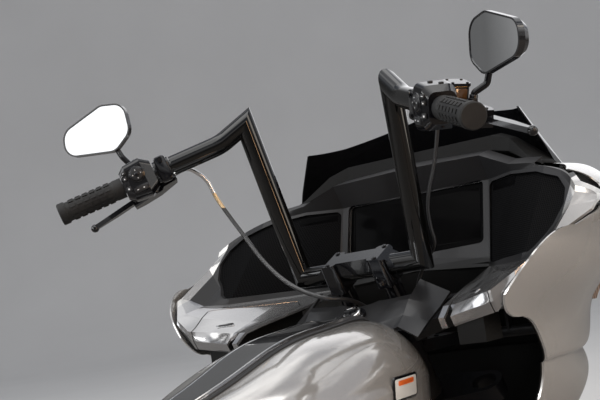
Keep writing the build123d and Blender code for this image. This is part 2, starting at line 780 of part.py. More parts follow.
# Dash: rows are x, then the brow's front, its crest, the face's top and foot, and the ledge
DASH = (
    (0, (300, 240), (250, 226), (283, 176), (243, 46), (234, 20)),
    (172, (295, 232), (244, 221), (270, 174), (222, 24), (214, 8)),
    (240, (262, 202), (224, 191), (230, 178), (141, 20), (133, 8)),
    (325, (222, 190), (196, 182), (190, 170), (44, 24), (34, 10)),
    (364, (200, 172), (182, 168), (167, 152), (62, 46), (6, 14)),
    (404, (150, 130), (126, 126), (118, 112), (84, 88), (-9, 38)),
    (436, (185, 106), (172, 103), (160, 99), (130, 90), (116, 82)),
)
GRILLE_EDGE = (
    (175, 168), (240, 172), (306, 165), (360, 146), (382, 122), (388, 94), (376, 63),
    (348, 29), (337, 22), (240, 18), (175, 13),
)
GRILLE_ROUND = 12
GRILLE_T = 3
GRILLE_LAP = 4


def grille_edge(grow):
    """The right speaker grille's outline, seen from the rider."""
    with BuildSketch(Plane(origin=at(0, -100, 0), x_dir=(1, 0, 0), z_dir=(0, -1, 0))) as front:
        Polygon(*GRILLE_EDGE[::-1], align=None)
        fillet(front.vertices(), radius=GRILLE_ROUND)
        if grow:
            offset(amount=grow)
    return front.sketch


with BuildPart() as inner_fairing:
    loft(sections=panel(DASH, 0, PANEL), ruled=True)
    add(core.part, mode=Mode.INTERSECT)
    with BuildSketch(DISPLAY.offset(60)):
        RectangleRounded(DISPLAY_W + 2 * SEAM, DISPLAY_H + 2 * SEAM, 8 + SEAM)
    extrude(amount=-120, mode=Mode.SUBTRACT)
    add(grille_edge(0))
    extrude(amount=600, dir=(0, 1, 0), mode=Mode.SUBTRACT)
    mirror(about=Plane.YZ)
inner_fairing.part.label = "inner_fairing"

with BuildPart() as grille_right:
    loft(sections=panel(DASH[1:], PANEL + SEAT, GRILLE_T), ruled=True)
    add(grille_edge(GRILLE_LAP))
    extrude(amount=600, dir=(0, 1, 0), mode=Mode.INTERSECT)
    add(core.part, mode=Mode.INTERSECT)
grille_right.part.label = "speaker_grille_right"

with BuildPart() as grille_left:
    add(mirror(grille_right.part, about=Plane.YZ, mode=Mode.PRIVATE))
grille_left.part.label = "speaker_grille_left"

with BuildPart() as display:
    with BuildSketch(DISPLAY.offset(1)):
        RectangleRounded(DISPLAY_W, DISPLAY_H, 8)
    extrude(amount=-DISPLAY_T - 1)
display.part.label = "display"

# Side panels, with a storage door in each. Rows run from the ledge back to the lower lip.
SIDE_PANEL = (
    (172, (214, 8), (140, -12), (40, -32), (-50, -48), (-84, -66), (-78, -82)),
    (240, (133, 8), (70, -8), (-10, -30), (-62, -46), (-85, -64), (-78, -78)),
    (325, (34, 10), (0, 5), (-50, -9), (-94, -30), (-90, -48), (-82, -62)),
    (364, (6, 14), (-10, 12), (-50, 4), (-78, -6), (-80, -14), (-78, -22)),
    (404, (-9, 38), (-13, 35.5), (-19, 34), (-26, 31), (-30, 28), (-31, 24)),
)
SIDE_INNER = ((172, 240), (178, 152), (190, 70), (208, -13), (216, -63), (220, -110))
DOOR_EDGE = (
    (335, -18), (325, -53), (320, -79), (318, -130), (230, -130), (228, -63), (218, -13),
    (200, 71), (195, 102), (215, 119.8),
)
BIN_EDGE = ((296, -20), (294, -74), (244, -74), (240, -60), (228, -10), (212, 70), (204, 116))
BIN_FLOOR = -112
BIN_WALL = 3
BIN_LAP = 7
LAP_REAR = -62
LIP_RELIEF = (
    (226, -40), (232, -62), (241, -72), (241, -140), (190, -140), (190, -40),
)


def from_above(points, hand, grow=0):
    """An outline in plan, at the height of the tank's base."""
    with BuildSketch(Plane.XY) as outline:
        Polygon(*[(hand * x, y + STEER_Y) for x, y in points][::-hand], align=None)
        if grow:
            offset(amount=grow, kind=Kind.INTERSECTION)
    return outline.sketch


def side_rows(hand):
    rows = [(hand * x, *points) for x, *points in SIDE_PANEL]
    return [(x, (first[0] - SEAT, first[1] - SEAT / 3), *rest) for x, first, *rest in rows]


def under(rows, depth):
    """Sections of the room below a folded sheet."""
    faces = []
    for x, *points in rows:
        top = [(y + depth, z - depth) for y, z in points]
        faces.append(side_face(x, [*top, (top[-1][0], -200), (top[0][0], -200)]))
    return faces


side_panels = {}
doors = {}
bins = {}
for name, hand in (("right", 1), ("left", -1)):
    with BuildPart() as side_panel:
        loft(sections=panel(side_rows(hand), 0, PANEL), ruled=True)
        add(core.part, mode=Mode.INTERSECT)
        inboard = (*SIDE_INNER, (450, -110), (450, 240))
        add(from_above(inboard, hand))
        extrude(amount=2 * STEER_Z, mode=Mode.INTERSECT)
        add(from_above(DOOR_EDGE, hand))
        extrude(amount=2 * STEER_Z, mode=Mode.SUBTRACT)
    side_panel.part.label = f"side_panel_{name}"
    side_panels[name] = side_panel
    with BuildPart() as door:
        loft(sections=panel(side_rows(hand), 0, PANEL), ruled=True)
        add(from_above(DOOR_EDGE, hand, -SEAM))
        extrude(amount=2 * STEER_Z, mode=Mode.INTERSECT)
        add(from_above(LIP_RELIEF, hand))
        extrude(amount=2 * STEER_Z, mode=Mode.SUBTRACT)
    door.part.label = f"storage_door_{name}"
    doors[name] = door
    with BuildPart() as box:
        loft(sections=under(side_rows(hand), PANEL + SEAT + 1), ruled=True)
        with BuildSketch(Plane.XY.offset(STEER_Z + BIN_FLOOR)):
            add(from_above(BIN_EDGE, hand))
        extrude(amount=STEER_Z, mode=Mode.INTERSECT)
    with BuildPart() as storage_bin:
        loft(sections=panel(side_rows(hand), PANEL + SEAT, BIN_WALL), ruled=True)
        add(from_above(DOOR_EDGE, hand, BIN_LAP))
        extrude(amount=2 * STEER_Z, mode=Mode.INTERSECT)
        add(core.part, mode=Mode.INTERSECT)
        with BuildSketch(Plane.XY):
            with Locations((0, STEER_Y + LAP_REAR - 100)):
                Rectangle(2 * STEER_Y, 200)
        extrude(amount=2 * STEER_Z, mode=Mode.SUBTRACT)
        add(box.part)
        with BuildSketch(Plane.XY.offset(STEER_Z + BIN_FLOOR + BIN_WALL)):
            add(from_above(BIN_EDGE, hand, -BIN_WALL))
        extrude(amount=STEER_Z, mode=Mode.SUBTRACT)
    storage_bin.part.label = f"storage_bin_{name}"
    bins[name] = storage_bin

# Shroud over the tank's front, open for the stem
SHROUD = (
    (0, (60, 2), (14, -30.9), (-31, -63), (-50, -88)),
    (60, (60, 2), (14, -30.9), (-31, -63), (-50, -88)),
    (110, (60, 4), (10, -28), (-16, -54), (-40, -72)),
    (160, (72, -26), (30, -48), (-20, -70), (-62, -92)),
)
STEM_ROOM = 82
BAR_ROOM = 110
with BuildPart() as shroud:
    loft(sections=panel(both_sides(SHROUD), 0, PANEL), ruled=True)
    add(tank_raised.part, mode=Mode.SUBTRACT)
    with BuildSketch(STEM.offset(-100)):
        Circle(STEM_ROOM)
        with Locations((0, 64)):
            Rectangle(2 * BAR_ROOM, 272)
    extrude(amount=200, mode=Mode.SUBTRACT)
shroud.part.label = "shroud"

SLOPE = Plane(origin=at(0, 14, -30.9), x_dir=(1, 0, 0), z_dir=(0, -0.581, 0.814))
with BuildPart() as ignition:
    with BuildSketch(SLOPE.offset(SEAT)):
        with Locations((2, -27)):
            Ellipse(25, 19)
    extrude(amount=5)
    with BuildSketch(SLOPE.offset(SEAT + 5)):
        with Locations((2, -27)):
            Circle(14)
    extrude(amount=5)
ignition.part.label = "ignition_switch"

# Windshield
SCREEN = (
    (180 + SEAT, 304, 250, 302, 330, 225, 430, 500),
    (345, 236, 180, 238, 255, 200, 345, 389),
)
with BuildPart() as windshield:
    loft(sections=[plan(row, 0, WALL) for row in SCREEN])
    with BuildSketch(Plane(origin=at(0, -100, 0), x_dir=(1, 0, 0), z_dir=(0, -1, 0))) as front:
        Polygon((-310, 160), (310, 160), (262, 300), (0, 342), (-262, 300), align=None)
        fillet([v for v in front.vertices() if v.Z > STEER_Z + 200 and abs(v.X) > 100], 45)
    extrude(amount=-800, mode=Mode.INTERSECT)
    with BuildSketch(Plane.YZ.offset(-400)):
        with Locations((STEER_Y, STEER_Z)):
            Polygon((301, 150), (278, 345), (0, 345), (0, 150), align=None)
    extrude(amount=800, mode=Mode.SUBTRACT)
windshield.part.label = "windshield"

# Cover between the dash and the windshield
COVER = (
    (0, (305, 232), (312, 262), (360, 268), (400, 250), (505, 172)),
    (172, (305, 232), (312, 262), (360, 268), (400, 250), (480, 172)),
    (215, (290, 222), (300, 248), (340, 250), (380, 240), (460, 172)),
    (262, (255, 196), (262, 205), (300, 215), (340, 212), (400, 172)),
    (315, (230, 176), (240, 178), (300, 178), (340, 176), (360, 172)),
)
with BuildPart() as cover:
    loft(sections=panel(both_sides(COVER), 0, PANEL), ruled=True)
    loft(sections=[room(row, WALL + WALL_SEAT) for row in SCREEN], mode=Mode.INTERSECT)
cover.part.label = "vent_cover"

# Bracket: leg from the neck, cross bar to the shell and two uprights behind the display
LEG_HALF = 25
UPRIGHT_X = 130
UPRIGHT_T = 6
with BuildPart() as bracket:
    with BuildSketch(Plane.XY.offset(STEER_Z + CROSS_AT[1] - 12)):
        with Locations((0, STEER_Y + (CROSS_AT[0] + 180) / 2)):
            Rectangle(2 * LEG_HALF, CROSS_AT[0] - 180)
    extrude(amount=24)
    with BuildSketch(STEM):
        Circle(NECK_R + SEAT)
    extrude(amount=-LOWER_TOP, mode=Mode.SUBTRACT)
    with BuildSketch(Plane.YZ.offset(-400)):
        with Locations((STEER_Y + CROSS_AT[0], STEER_Z + CROSS_AT[1])):
            Circle(CROSS_R)
    extrude(amount=800)
    for x in (-UPRIGHT_X, UPRIGHT_X):
        with BuildSketch(Plane.YZ.offset(x - UPRIGHT_T / 2)):
            with Locations((STEER_Y, STEER_Z)):
                Polygon(
                    (334, -125), (350, -125), (345, 0), (322, 130), (300.5, 131), (277, 54),
                    (290, 40), (330, 0), align=None,
                )
        extrude(amount=UPRIGHT_T)
    add(core.part, mode=Mode.INTERSECT)
bracket.part.label = "fairing_bracket"

PARTS = [
    frame, lower_clamp, upper_clamp, stem_nut, riser_left, riser_right, top_clamp,
    handlebar, grip_right, grip_left, housing_right, housing_left, perch_right,
    perch_left, lever_right, lever_left, reservoir, *cords.values(),
    *stalks.values(), *shells.values(), *glasses.values(),
    tank, console, fuel_door, fuel_cap, outer_fairing, *turn_lamps.values(),
    headlamp_lens, headlamp_housing, liner, inner_fairing, grille_right, grille_left, display,
    *side_panels.values(), *doors.values(), *bins.values(), shroud, ignition,
    windshield, cover, bracket,
]
os.makedirs("parts", exist_ok=True)
for piece in PARTS:
    export_step(piece.part, f"parts/{piece.part.label}.step")
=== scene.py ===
import json
from math import cos, pi, radians, sin

import bmesh
import bpy
from mathutils import Matrix, Vector
from mathutils.bvhtree import BVHTree


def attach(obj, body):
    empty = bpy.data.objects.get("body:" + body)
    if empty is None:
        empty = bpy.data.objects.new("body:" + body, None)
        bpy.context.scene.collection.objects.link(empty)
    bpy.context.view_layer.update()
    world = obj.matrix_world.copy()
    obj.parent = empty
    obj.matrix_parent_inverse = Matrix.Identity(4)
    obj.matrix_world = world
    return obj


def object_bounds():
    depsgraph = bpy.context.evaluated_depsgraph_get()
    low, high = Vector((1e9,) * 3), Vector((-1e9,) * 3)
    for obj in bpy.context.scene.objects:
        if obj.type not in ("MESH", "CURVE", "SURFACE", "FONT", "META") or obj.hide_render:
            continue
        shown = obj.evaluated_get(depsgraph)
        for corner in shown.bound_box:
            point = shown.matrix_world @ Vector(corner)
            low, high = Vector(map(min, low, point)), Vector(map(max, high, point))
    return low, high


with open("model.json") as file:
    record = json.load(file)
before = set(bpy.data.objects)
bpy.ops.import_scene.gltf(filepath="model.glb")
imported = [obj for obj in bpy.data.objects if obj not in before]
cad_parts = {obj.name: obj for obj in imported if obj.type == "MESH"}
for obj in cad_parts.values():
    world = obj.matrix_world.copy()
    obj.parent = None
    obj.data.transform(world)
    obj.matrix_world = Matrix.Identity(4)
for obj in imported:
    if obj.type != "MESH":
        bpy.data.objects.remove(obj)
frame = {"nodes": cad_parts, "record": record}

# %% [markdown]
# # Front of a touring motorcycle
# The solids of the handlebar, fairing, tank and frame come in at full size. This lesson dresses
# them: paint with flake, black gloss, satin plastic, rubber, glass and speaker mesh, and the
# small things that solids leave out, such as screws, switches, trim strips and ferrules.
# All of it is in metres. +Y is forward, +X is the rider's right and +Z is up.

NODES = frame["nodes"]
LOADED = [[float(v) for v in corner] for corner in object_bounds()]
print("solids", len(NODES), "from", LOADED[0], "to", LOADED[1])

# %% [markdown]
# ## Places
# Details sit on the bar, the lever arm and the steering stem, which all lean. Each gets a plane
# of its own, in millimetres, so that a switch can be placed along and round the bar as its maker
# would dimension it. The left side is the right side mirrored across the machine.

# %% Planes of the machine
DATUM = Vector((0, 0.640, 0.250))
UP, DOWN, AHEAD = Vector((0, 0, 1)), Vector((0, 0, -1)), Vector((0, 1, 0))
SIDES = (("right", 1), ("left", -1))


def at(x, y, z):
    """A point in millimetres from the middle of the steering head."""
    return DATUM + Vector((x, y, z)) / 1000


class Place:
    """A plane with its own axes. Calling it turns millimetres on it into a point."""

    def __init__(self, origin, x, z, hand=1):
        z = Vector(z).normalized()
        x = Vector(x)
        x = (x - z * x.dot(z)).normalized()
        axes = Matrix((x, z.cross(x), z)).transposed().to_4x4()
        mirror = Matrix.Diagonal((hand, 1, 1, 1))
        self.matrix = mirror @ Matrix.Translation(origin) @ axes

    def __call__(self, x, y, z=0):
        return self.matrix @ (Vector((x, y, z)) / 1000)

    def way(self, x, y, z):
        """A direction on the plane as a direction in the room."""
        return (self.matrix.to_3x3() @ Vector((x, y, z))).normalized()


RAKE, LEVER_TILT = radians(26), radians(8)
STEM = Place(at(0, 96, -8), (1, 0, 0), (0, -sin(RAKE), cos(RAKE)))
GRIP_IN = at(346, -191, 256)
GRIP_DIR = Vector((0.705, -0.651, -0.279)).normalized()
UP_BAR = (UP - GRIP_DIR * GRIP_DIR.z).normalized()
TIP = Matrix.Rotation(LEVER_TILT, 3, "Y")
# On PANEL, x runs out along the bar, y up and z toward the rider. On ARM, y runs forward along
# the lever bracket and z up. On OVER and UNDER, z points up or down out of the bar.
PANEL = {hand: Place(GRIP_IN, GRIP_DIR, GRIP_DIR.cross(UP_BAR), hand) for _, hand in SIDES}
ARM = {hand: Place(GRIP_IN, TIP @ GRIP_DIR, TIP @ UP_BAR, hand) for _, hand in SIDES}
UNDER = {hand: Place(GRIP_IN, GRIP_DIR, -UP_BAR, hand) for _, hand in SIDES}
OVER = {hand: Place(GRIP_IN, GRIP_DIR, UP_BAR, hand) for _, hand in SIDES}
print("rider's side of the right bar", PANEL[1].way(0, 0, 1))

# %% [markdown]
# A detail is seated by finding the solid's surface under it. A ray goes from outside toward the
# piece, and what it meets is the seat.

# %% Finding a surface
TREES = {}
OUTSIDE = 200


def hit(node, start, way):
    """Where a ray meets a solid, and which way the surface faces there."""
    if node not in TREES:
        mesh = NODES[node].data
        points = [v.co.copy() for v in mesh.vertices]
        TREES[node] = BVHTree.FromPolygons(points, [tuple(p.vertices) for p in mesh.polygons])
    spot, normal, _, _ = TREES[node].ray_cast(start, way)
    if spot is None:
        raise ValueError(f"no {node} under {tuple(start)}")
    return spot, normal if normal.dot(way) < 0 else -normal


def seat(node, place, x, y):
    """Where a solid lies below a plane's point, seen from well outside it."""
    return hit(node, place(x, y, OUTSIDE), -place.way(0, 0, 1))


print("housing is", seat("switch_housing_left", PANEL[-1], -30, 10)[0])

# %% [markdown]
# ## Shaders
# A material is a chain of nodes. Two helpers keep it readable: a value that ordinary operators
# work on, and one method that adds any other node from its type, settings and socket values. The
# sky and the screws are node trees too, so the function under that method serves all three.

# %% Adding a node
# Sockets of the Mix node while it mixes colours
AMOUNT, FIRST, SECOND, MIXED = 0, 6, 7, 2


def add_node(tree, kind, settings=None, sockets=None):
    """A node from its type, its settings and the values or links of its sockets."""
    node = tree.nodes.new(kind)
    for name, value in (settings or {}).items():
        setattr(node, name, value)
    for name, value in (sockets or {}).items():
        value = getattr(value, "socket", value)
        if isinstance(value, bpy.types.NodeSocket):
            tree.links.new(value, node.inputs[name])
        else:
            node.inputs[name].default_value = value
    return node


def mix(tree, amount, first, second):
    """A colour between two, each a list of three numbers or the socket of another colour."""
    first, second = [(*c, 1) if isinstance(c, (tuple, list)) else c for c in (first, second)]
    sockets = {AMOUNT: amount, FIRST: first, SECOND: second}
    return add_node(tree, "ShaderNodeMix", {"data_type": "RGBA"}, sockets).outputs[MIXED]


def ramp(tree, value, low, high):
    """0 below low, 1 above high and a straight line between."""
    return add_node(tree, "ShaderNodeMapRange", {}, {0: value, 1: low, 2: high}).outputs[0]


print("one function adds every node")

# %% Values and shades
class Value:
    """A number that the shader works out at each point of the surface."""

    def __init__(self, shade, socket):
        self.shade = shade
        self.socket = socket

    def math(self, operation, other=None, turned=False):
        given = [other, self] if turned else [self, other]
        sockets = {k: value for k, value in enumerate(given) if value is not None}
        return self.shade.node("ShaderNodeMath", {"operation": operation}, sockets)

    def __add__(self, other):
        return self.math("ADD", other)

    def __sub__(self, other):
        return self.math("SUBTRACT", other)

    def __rsub__(self, other):
        return self.math("SUBTRACT", other, turned=True)

    def __mul__(self, other):
        return self.math("MULTIPLY", other)

    def __truediv__(self, other):
        return self.math("DIVIDE", other)

    def __rtruediv__(self, other):
        return self.math("DIVIDE", other, turned=True)

    __radd__ = __add__
    __rmul__ = __mul__

    def power(self, exponent):
        return self.math("POWER", exponent)

    def most(self, other):
        return self.math("MAXIMUM", other)

    def size(self):
        return self.math("ABSOLUTE")

    def wave(self):
        return self.math("SINE")

    def part(self):
        return self.math("FRACT")

    def floor(self):
        return self.math("FLOOR")

    def step(self, low, high):
        return Value(self.shade, ramp(self.shade.tree, self, low, high))


class Shade:
    """One material and its nodes."""

    def __init__(self, name):
        self.name = name
        self.material = bpy.data.materials.new(name)
        self.material.use_nodes = True
        self.tree = self.material.node_tree
        self.tree.nodes.clear()
        self.place = self.node("ShaderNodeTexCoord", out="Object")
        split = add_node(self.tree, "ShaderNodeSeparateXYZ", {}, {0: self.place})
        self.x, self.y, self.z = [Value(self, out) for out in split.outputs]

    def node(self, kind, settings=None, sockets=None, out=0):
        return Value(self, add_node(self.tree, kind, settings, sockets).outputs[out])

    def noise(self, scale, detail=3, stretch=(1, 1, 1)):
        spot = self.node("ShaderNodeMapping", {}, {"Vector": self.place, "Scale": Vector(stretch)})
        sockets = {"Vector": spot, "Scale": scale, "Detail": detail}
        return self.node("ShaderNodeTexNoise", {}, sockets)

    def flakes(self, scale):
        """A random number from 0 to 1 for each cell of a fine pattern."""
        sockets = {"Vector": self.place, "Scale": scale}
        colour = self.node("ShaderNodeTexVoronoi", {}, sockets, out="Color")
        return self.node("ShaderNodeSeparateXYZ", {}, {0: colour})

    def blend(self, amount, first, second):
        return Value(self, mix(self.tree, amount, first, second))

    def bump(self, height, strength, reach):
        """Relief from a height, with its reach in metres."""
        sockets = {"Height": height, "Strength": strength, "Distance": reach}
        return self.node("ShaderNodeBump", {}, sockets)

    def skin(self, **sockets):
        """The surface itself. Names of sockets are written with underscores."""
        named = {name.replace("_", " "): value for name, value in sockets.items()}
        colour = named["Base Color"]
        if isinstance(colour, (tuple, list)):
            named["Base Color"] = (*colour, 1)
        return self.node("ShaderNodeBsdfPrincipled", {}, named)

    def end(self, surface):
        """Closes the chain and keeps the finish under its name."""
        add_node(self.tree, "ShaderNodeOutputMaterial", {}, {"Surface": surface})
        FINISH[self.name] = self.material


FINISH = {}


def tint(colour, factor):
    return [min(1.0, channel * factor) for channel in colour]


def layered(name, colour, rough, metal, coat, mirror, grain, lift):
    """Paint, plastic or metal with slow mottling, uneven gloss and a fine grain."""
    shade = Shade(name)
    slow = shade.noise(9, 4)
    fine = shade.noise(grain, 2)
    tone = shade.blend(slow, tint(colour, 0.8), tint(colour, 1.2))
    gloss = rough + (slow + fine - 1) * 0.08
    skin = shade.skin(
        Base_Color=tone,
        Roughness=gloss.most(0.02),
        Metallic=metal,
        Specular_IOR_Level=mirror,
        Coat_Weight=coat,
        Coat_Roughness=0.03,
        Normal=shade.bump(fine, lift, 0.0002),
    )
    shade.end(skin)


print("shader helpers ready")

# %% [markdown]
# ### Body paint
# Silver-grey pearl: a metallic base with flakes that each catch the light on their own, under a
# thick clear coat. The flakes are cells a third of a millimetre wide. Their random colour output
# gives each one its own brightness and gloss. A very slow noise stands for the soft waves that
# the coat has on a large panel.

# %% Body paint
PAINT = (0.475, 0.468, 0.456)
FLAKES_PER_METRE = 2800


def body_skin(shade):
    glint = shade.flakes(FLAKES_PER_METRE)
    waves = shade.noise(5, 2)
    tone = shade.blend(glint * 0.6 + waves * 0.4, tint(PAINT, 0.8), tint(PAINT, 1.2))
    return shade.skin(
        Base_Color=tone,
        Metallic=0.62,
        Roughness=0.1 + glint * 0.08,
        Coat_Weight=1.0,
        Coat_Roughness=0.02,
        Normal=shade.bump(waves, 0.05, 0.002),
    )


shade = Shade("body_paint")
shade.end(body_skin(shade))
print("body paint", PAINT)

# %% [markdown]
# ### Dash and side panels
# The dash is charcoal plastic with a satin sheen. The middle of its foot, below the display, has
# painted shade: a darker colour with the same gloss. The side panels and their doors are painted a
# glossy metal grey that mirrors the sky. Outside the speakers both end in the lip of the painted
# shell, so there the shader changes over to the body paint. That edge follows the width of the
# piece, so the distance from the middle gives it.

# %% Dash, side panels and doors
# The second colour is painted shade for the middle of the dash's foot
CHARCOAL, FOOT_SHADE = (0.015, 0.015, 0.016), (0.003, 0.003, 0.003)
SHROUD_BLACK, PANEL_GREY = (0.013, 0.013, 0.014), (0.36, 0.36, 0.365)
LIP_FROM, FOOT_TOP, FOOT_HALF = 0.3905, 0.2765, 0.2
SHARP = 0.001


def satin_skin(shade, colour, rough, coat, metal=0.0, mirror=0.35, grain=0.025):
    """Plastic or paint. The grain roughens the gloss as well as the surface."""
    slow = shade.noise(7, 3)
    fine = shade.noise(1500, 2)
    if isinstance(colour, tuple):
        colour = shade.blend(slow, tint(colour, 0.85), tint(colour, 1.15))
    return shade.skin(
        Base_Color=colour,
        Roughness=rough + (fine * 0.7 + slow * 0.3) * (4 * grain),
        Metallic=metal,
        Specular_IOR_Level=mirror,
        Coat_Weight=coat,
        Coat_Roughness=0.06,
        Normal=shade.bump(fine, grain, 0.0002),
    )


def panel_skin(shade):
    return satin_skin(shade, PANEL_GREY, 0.17, 0.8, metal=0.8, grain=0.001)


def with_lip(shade, inner):
    """The finish inside the shell, and body paint on the shell's lip."""
    lip = shade.x.size().step(LIP_FROM, LIP_FROM + SHARP)
    shade.end(shade.node("ShaderNodeMixShader", {}, {0: lip, 1: inner, 2: body_skin(shade)}))


shade = Shade("dash_grey")
# Painted shade: the middle of the dash's foot, below the display, gets the darker colour
below = 1 - shade.z.step(FOOT_TOP, FOOT_TOP + SHARP)
foot = below * (1 - shade.x.size().step(FOOT_HALF, FOOT_HALF + 5 * SHARP))
tone = shade.blend(foot, CHARCOAL, FOOT_SHADE)
with_lip(shade, satin_skin(shade, tone, 0.32, 0.05, mirror=0.22))
shade = Shade("panel_grey")
with_lip(shade, panel_skin(shade))
shade = Shade("door_black")
shade.end(panel_skin(shade))
shade = Shade("shroud_black")
shade.end(satin_skin(shade, SHROUD_BLACK, 0.28, 0.15, metal=0.2))
print("dash", CHARCOAL, "panels", PANEL_GREY)

# %% [markdown]
# ### Black finishes, metals and rubber
# Powder coat, gloss black and moulded plastic are all nearly the same black. What tells them
# apart is the gloss, the coat and the size of the grain, so one function makes them from a short
# table. The console is the exception: polished to a dark mirror, it takes its tone from the sky.

# %% Table of layered finishes
LAYERED = (
    # name, colour, roughness, metal, coat, mirror gloss, grain per metre, grain height
    ("frame_black", (0.012, 0.012, 0.013), 0.42, 0.0, 0.1, 0.3, 700, 0.35),
    ("clamp_black", (0.007, 0.007, 0.008), 0.24, 0.0, 0.15, 0.25, 1200, 0.12),
    ("gloss_black", (0.003, 0.003, 0.004), 0.16, 0.0, 0.6, 0.15, 300, 0.02),
    ("bar_black", (0.002, 0.002, 0.002), 0.06, 0.0, 0.8, 0.05, 200, 0.01),
    ("control_black", (0.003, 0.003, 0.004), 0.16, 0.0, 0.45, 0.15, 1600, 0.04),
    ("lever_black", (0.005, 0.005, 0.006), 0.18, 0.0, 0.5, 0.25, 500, 0.05),
    ("mirror_black", (0.006, 0.006, 0.007), 0.15, 0.0, 0.8, 0.4, 300, 0.03),
    ("console_black", (0.38, 0.39, 0.41), 0.08, 0.9, 1.0, 0.5, 260, 0.02),
    ("matte_black", (0.004, 0.004, 0.004), 0.66, 0.0, 0.0, 0.15, 1400, 0.5),
    ("switch_rubber", (0.011, 0.011, 0.012), 0.5, 0.0, 0.0, 0.3, 1800, 0.4),
    ("mark_white", (0.6, 0.6, 0.6), 0.45, 0.0, 0.0, 0.5, 900, 0.1),
    ("silver_trim", (0.55, 0.55, 0.55), 0.16, 1.0, 0.6, 0.5, 700, 0.05),
    ("gold_trim", (0.5, 0.33, 0.14), 0.26, 1.0, 0.3, 0.5, 900, 0.1),
    ("badge_orange", (0.7, 0.13, 0.02), 0.3, 0.0, 1.0, 0.5, 500, 0.05),
    ("badge_silver", (0.6, 0.6, 0.58), 0.42, 0.2, 0.3, 0.5, 900, 0.05),
    ("fluid_glass", (0.09, 0.045, 0.018), 0.1, 0.0, 1.0, 0.5, 400, 0.02),
)
for row in LAYERED:
    layered(*row)
print("layered finishes", len(LAYERED))

# %% [markdown]
# Brushed steel has its grain along one way, which comes from a noise squeezed across it. The
# grips are soft black rubber with a dusty, coarse skin.

# %% Steel and rubber
shade = Shade("steel")
brushed = shade.noise(160, 4, (1, 1, 22))
shade.end(
    shade.skin(
        Base_Color=shade.blend(brushed, (0.42, 0.42, 0.43), (0.66, 0.66, 0.66)),
        Metallic=1.0,
        Roughness=0.2 + brushed * 0.22,
        Normal=shade.bump(brushed, 0.15, 0.0002),
    )
)

shade = Shade("grip_rubber")
skin = shade.noise(900, 4)
dust = shade.noise(30, 4)
shade.end(
    shade.skin(
        Base_Color=shade.blend(
            dust.step(0.35, 0.75), (0.005, 0.005, 0.0055), (0.012, 0.012, 0.0115)
        ),
        Roughness=0.55 + skin * 0.2,
        Specular_IOR_Level=0.35,
        Normal=shade.bump(skin, 0.5, 0.0003),
    )
)
print("steel and rubber ready")

# %% [markdown]
# ### Clutch cable
# The cable leaves the lever bracket through a bright elbow, then a gold ferrule, and goes on as
# black jacket over a wound wire. The three finishes change by height along the cable, and the
# winding shows as fine ribs.

# %% Cable
ELBOW_FROM, FERRULE_FROM, CLUTCH_SIDE = 0.474, 0.443, 0.2
shade = Shade("cable_black")
left = (shade.x * -1).step(CLUTCH_SIDE, CLUTCH_SIDE + SHARP)
elbow = shade.z.step(ELBOW_FROM, ELBOW_FROM + SHARP) * left
ferrule = shade.z.step(FERRULE_FROM, FERRULE_FROM + SHARP) * left
ribs = (shade.z * 2600 + shade.x * 1500 + shade.y * 900).wave()
tone = shade.blend(ferrule, (0.014, 0.014, 0.015), (0.6, 0.45, 0.27))
tone = shade.blend(elbow, tone, (0.62, 0.62, 0.62))
shade.end(
    shade.skin(
        Base_Color=tone,
        Metallic=ferrule,
        Roughness=0.34 - elbow * 0.16 + ribs * 0.03,
        Coat_Weight=0.3,
        Normal=shade.bump(ribs * (1 - ferrule), 0.25, 0.0003),
    )
)
print("cable finish ready")

# %% [markdown]
# ### Speaker mesh
# The speakers sit behind punched sheet. Rows of round holes are offset by half a pitch, as
# punching tools lay them. The shader numbers each row and shifts every odd one, and the distance
# to the nearest hole's centre darkens and dents the sheet.

# %% Speaker mesh
PITCH = 0.0042
# Distance between rows, and the radius of a hole at its floor and at its rim, in pitches
ROW, HOLE, RIM = 0.866, 0.26, 0.36
shade = Shade("grille_black")
row = shade.z / (PITCH * ROW)
shift = (row.floor() * 0.5).part()
across = (shade.x / PITCH + shift).part() - 0.5
along = (row.part() - 0.5) * ROW
reach = (across * across + along * along).power(0.5)
sheet = reach.step(HOLE, RIM)
cloth = shade.noise(1200, 3)
shade.end(
    shade.skin(
        Base_Color=shade.blend(sheet, (0.0008, 0.0008, 0.0008), (0.005, 0.005, 0.0055)),
        Roughness=0.8 - sheet * 0.25 + cloth * 0.1,
        Specular_IOR_Level=0.03,
        Normal=shade.bump(sheet, 0.6, 0.0006),
    )
)
print("mesh pitch", PITCH)

# %% [markdown]
# ### Glass, screens and lamps
# The mirrors are polished metal behind glass. The display is switched off, so it is black glass
# that hardly mirrors. The windshield is smoked until almost nothing shows through. The lamp's
# reflector is chrome with two dark projectors drawn by their distance from two centres.

# %% Glass and lamps
shade = Shade("mirror_glass")
haze = shade.noise(40, 3)
shade.end(
    shade.skin(
        Base_Color=shade.blend(haze, (0.82, 0.84, 0.86), (0.9, 0.91, 0.93)),
        Metallic=1.0,
        Roughness=0.015 + haze * 0.02,
        Coat_Weight=0.5,
    )
)

shade = Shade("screen_black")
smudge = shade.noise(14, 5)
shade.end(
    shade.skin(
        Base_Color=shade.blend(smudge, (0.001, 0.001, 0.0012), (0.003, 0.003, 0.0032)),
        Roughness=0.12 + smudge.step(0.4, 0.8) * 0.1,
        Specular_IOR_Level=0.012,
    )
)

shade = Shade("smoked_screen")
edge = shade.node("ShaderNodeLayerWeight", {}, {"Blend": 0.3}, out=1)
haze = shade.noise(20, 3)
shade.end(
    shade.skin(
        Base_Color=shade.blend(haze, (0.001, 0.001, 0.0015), (0.003, 0.003, 0.0035)),
        Roughness=0.05 + haze * 0.04 + edge * 0.02,
        Specular_IOR_Level=0.25,
        Alpha=0.95,
    )
)

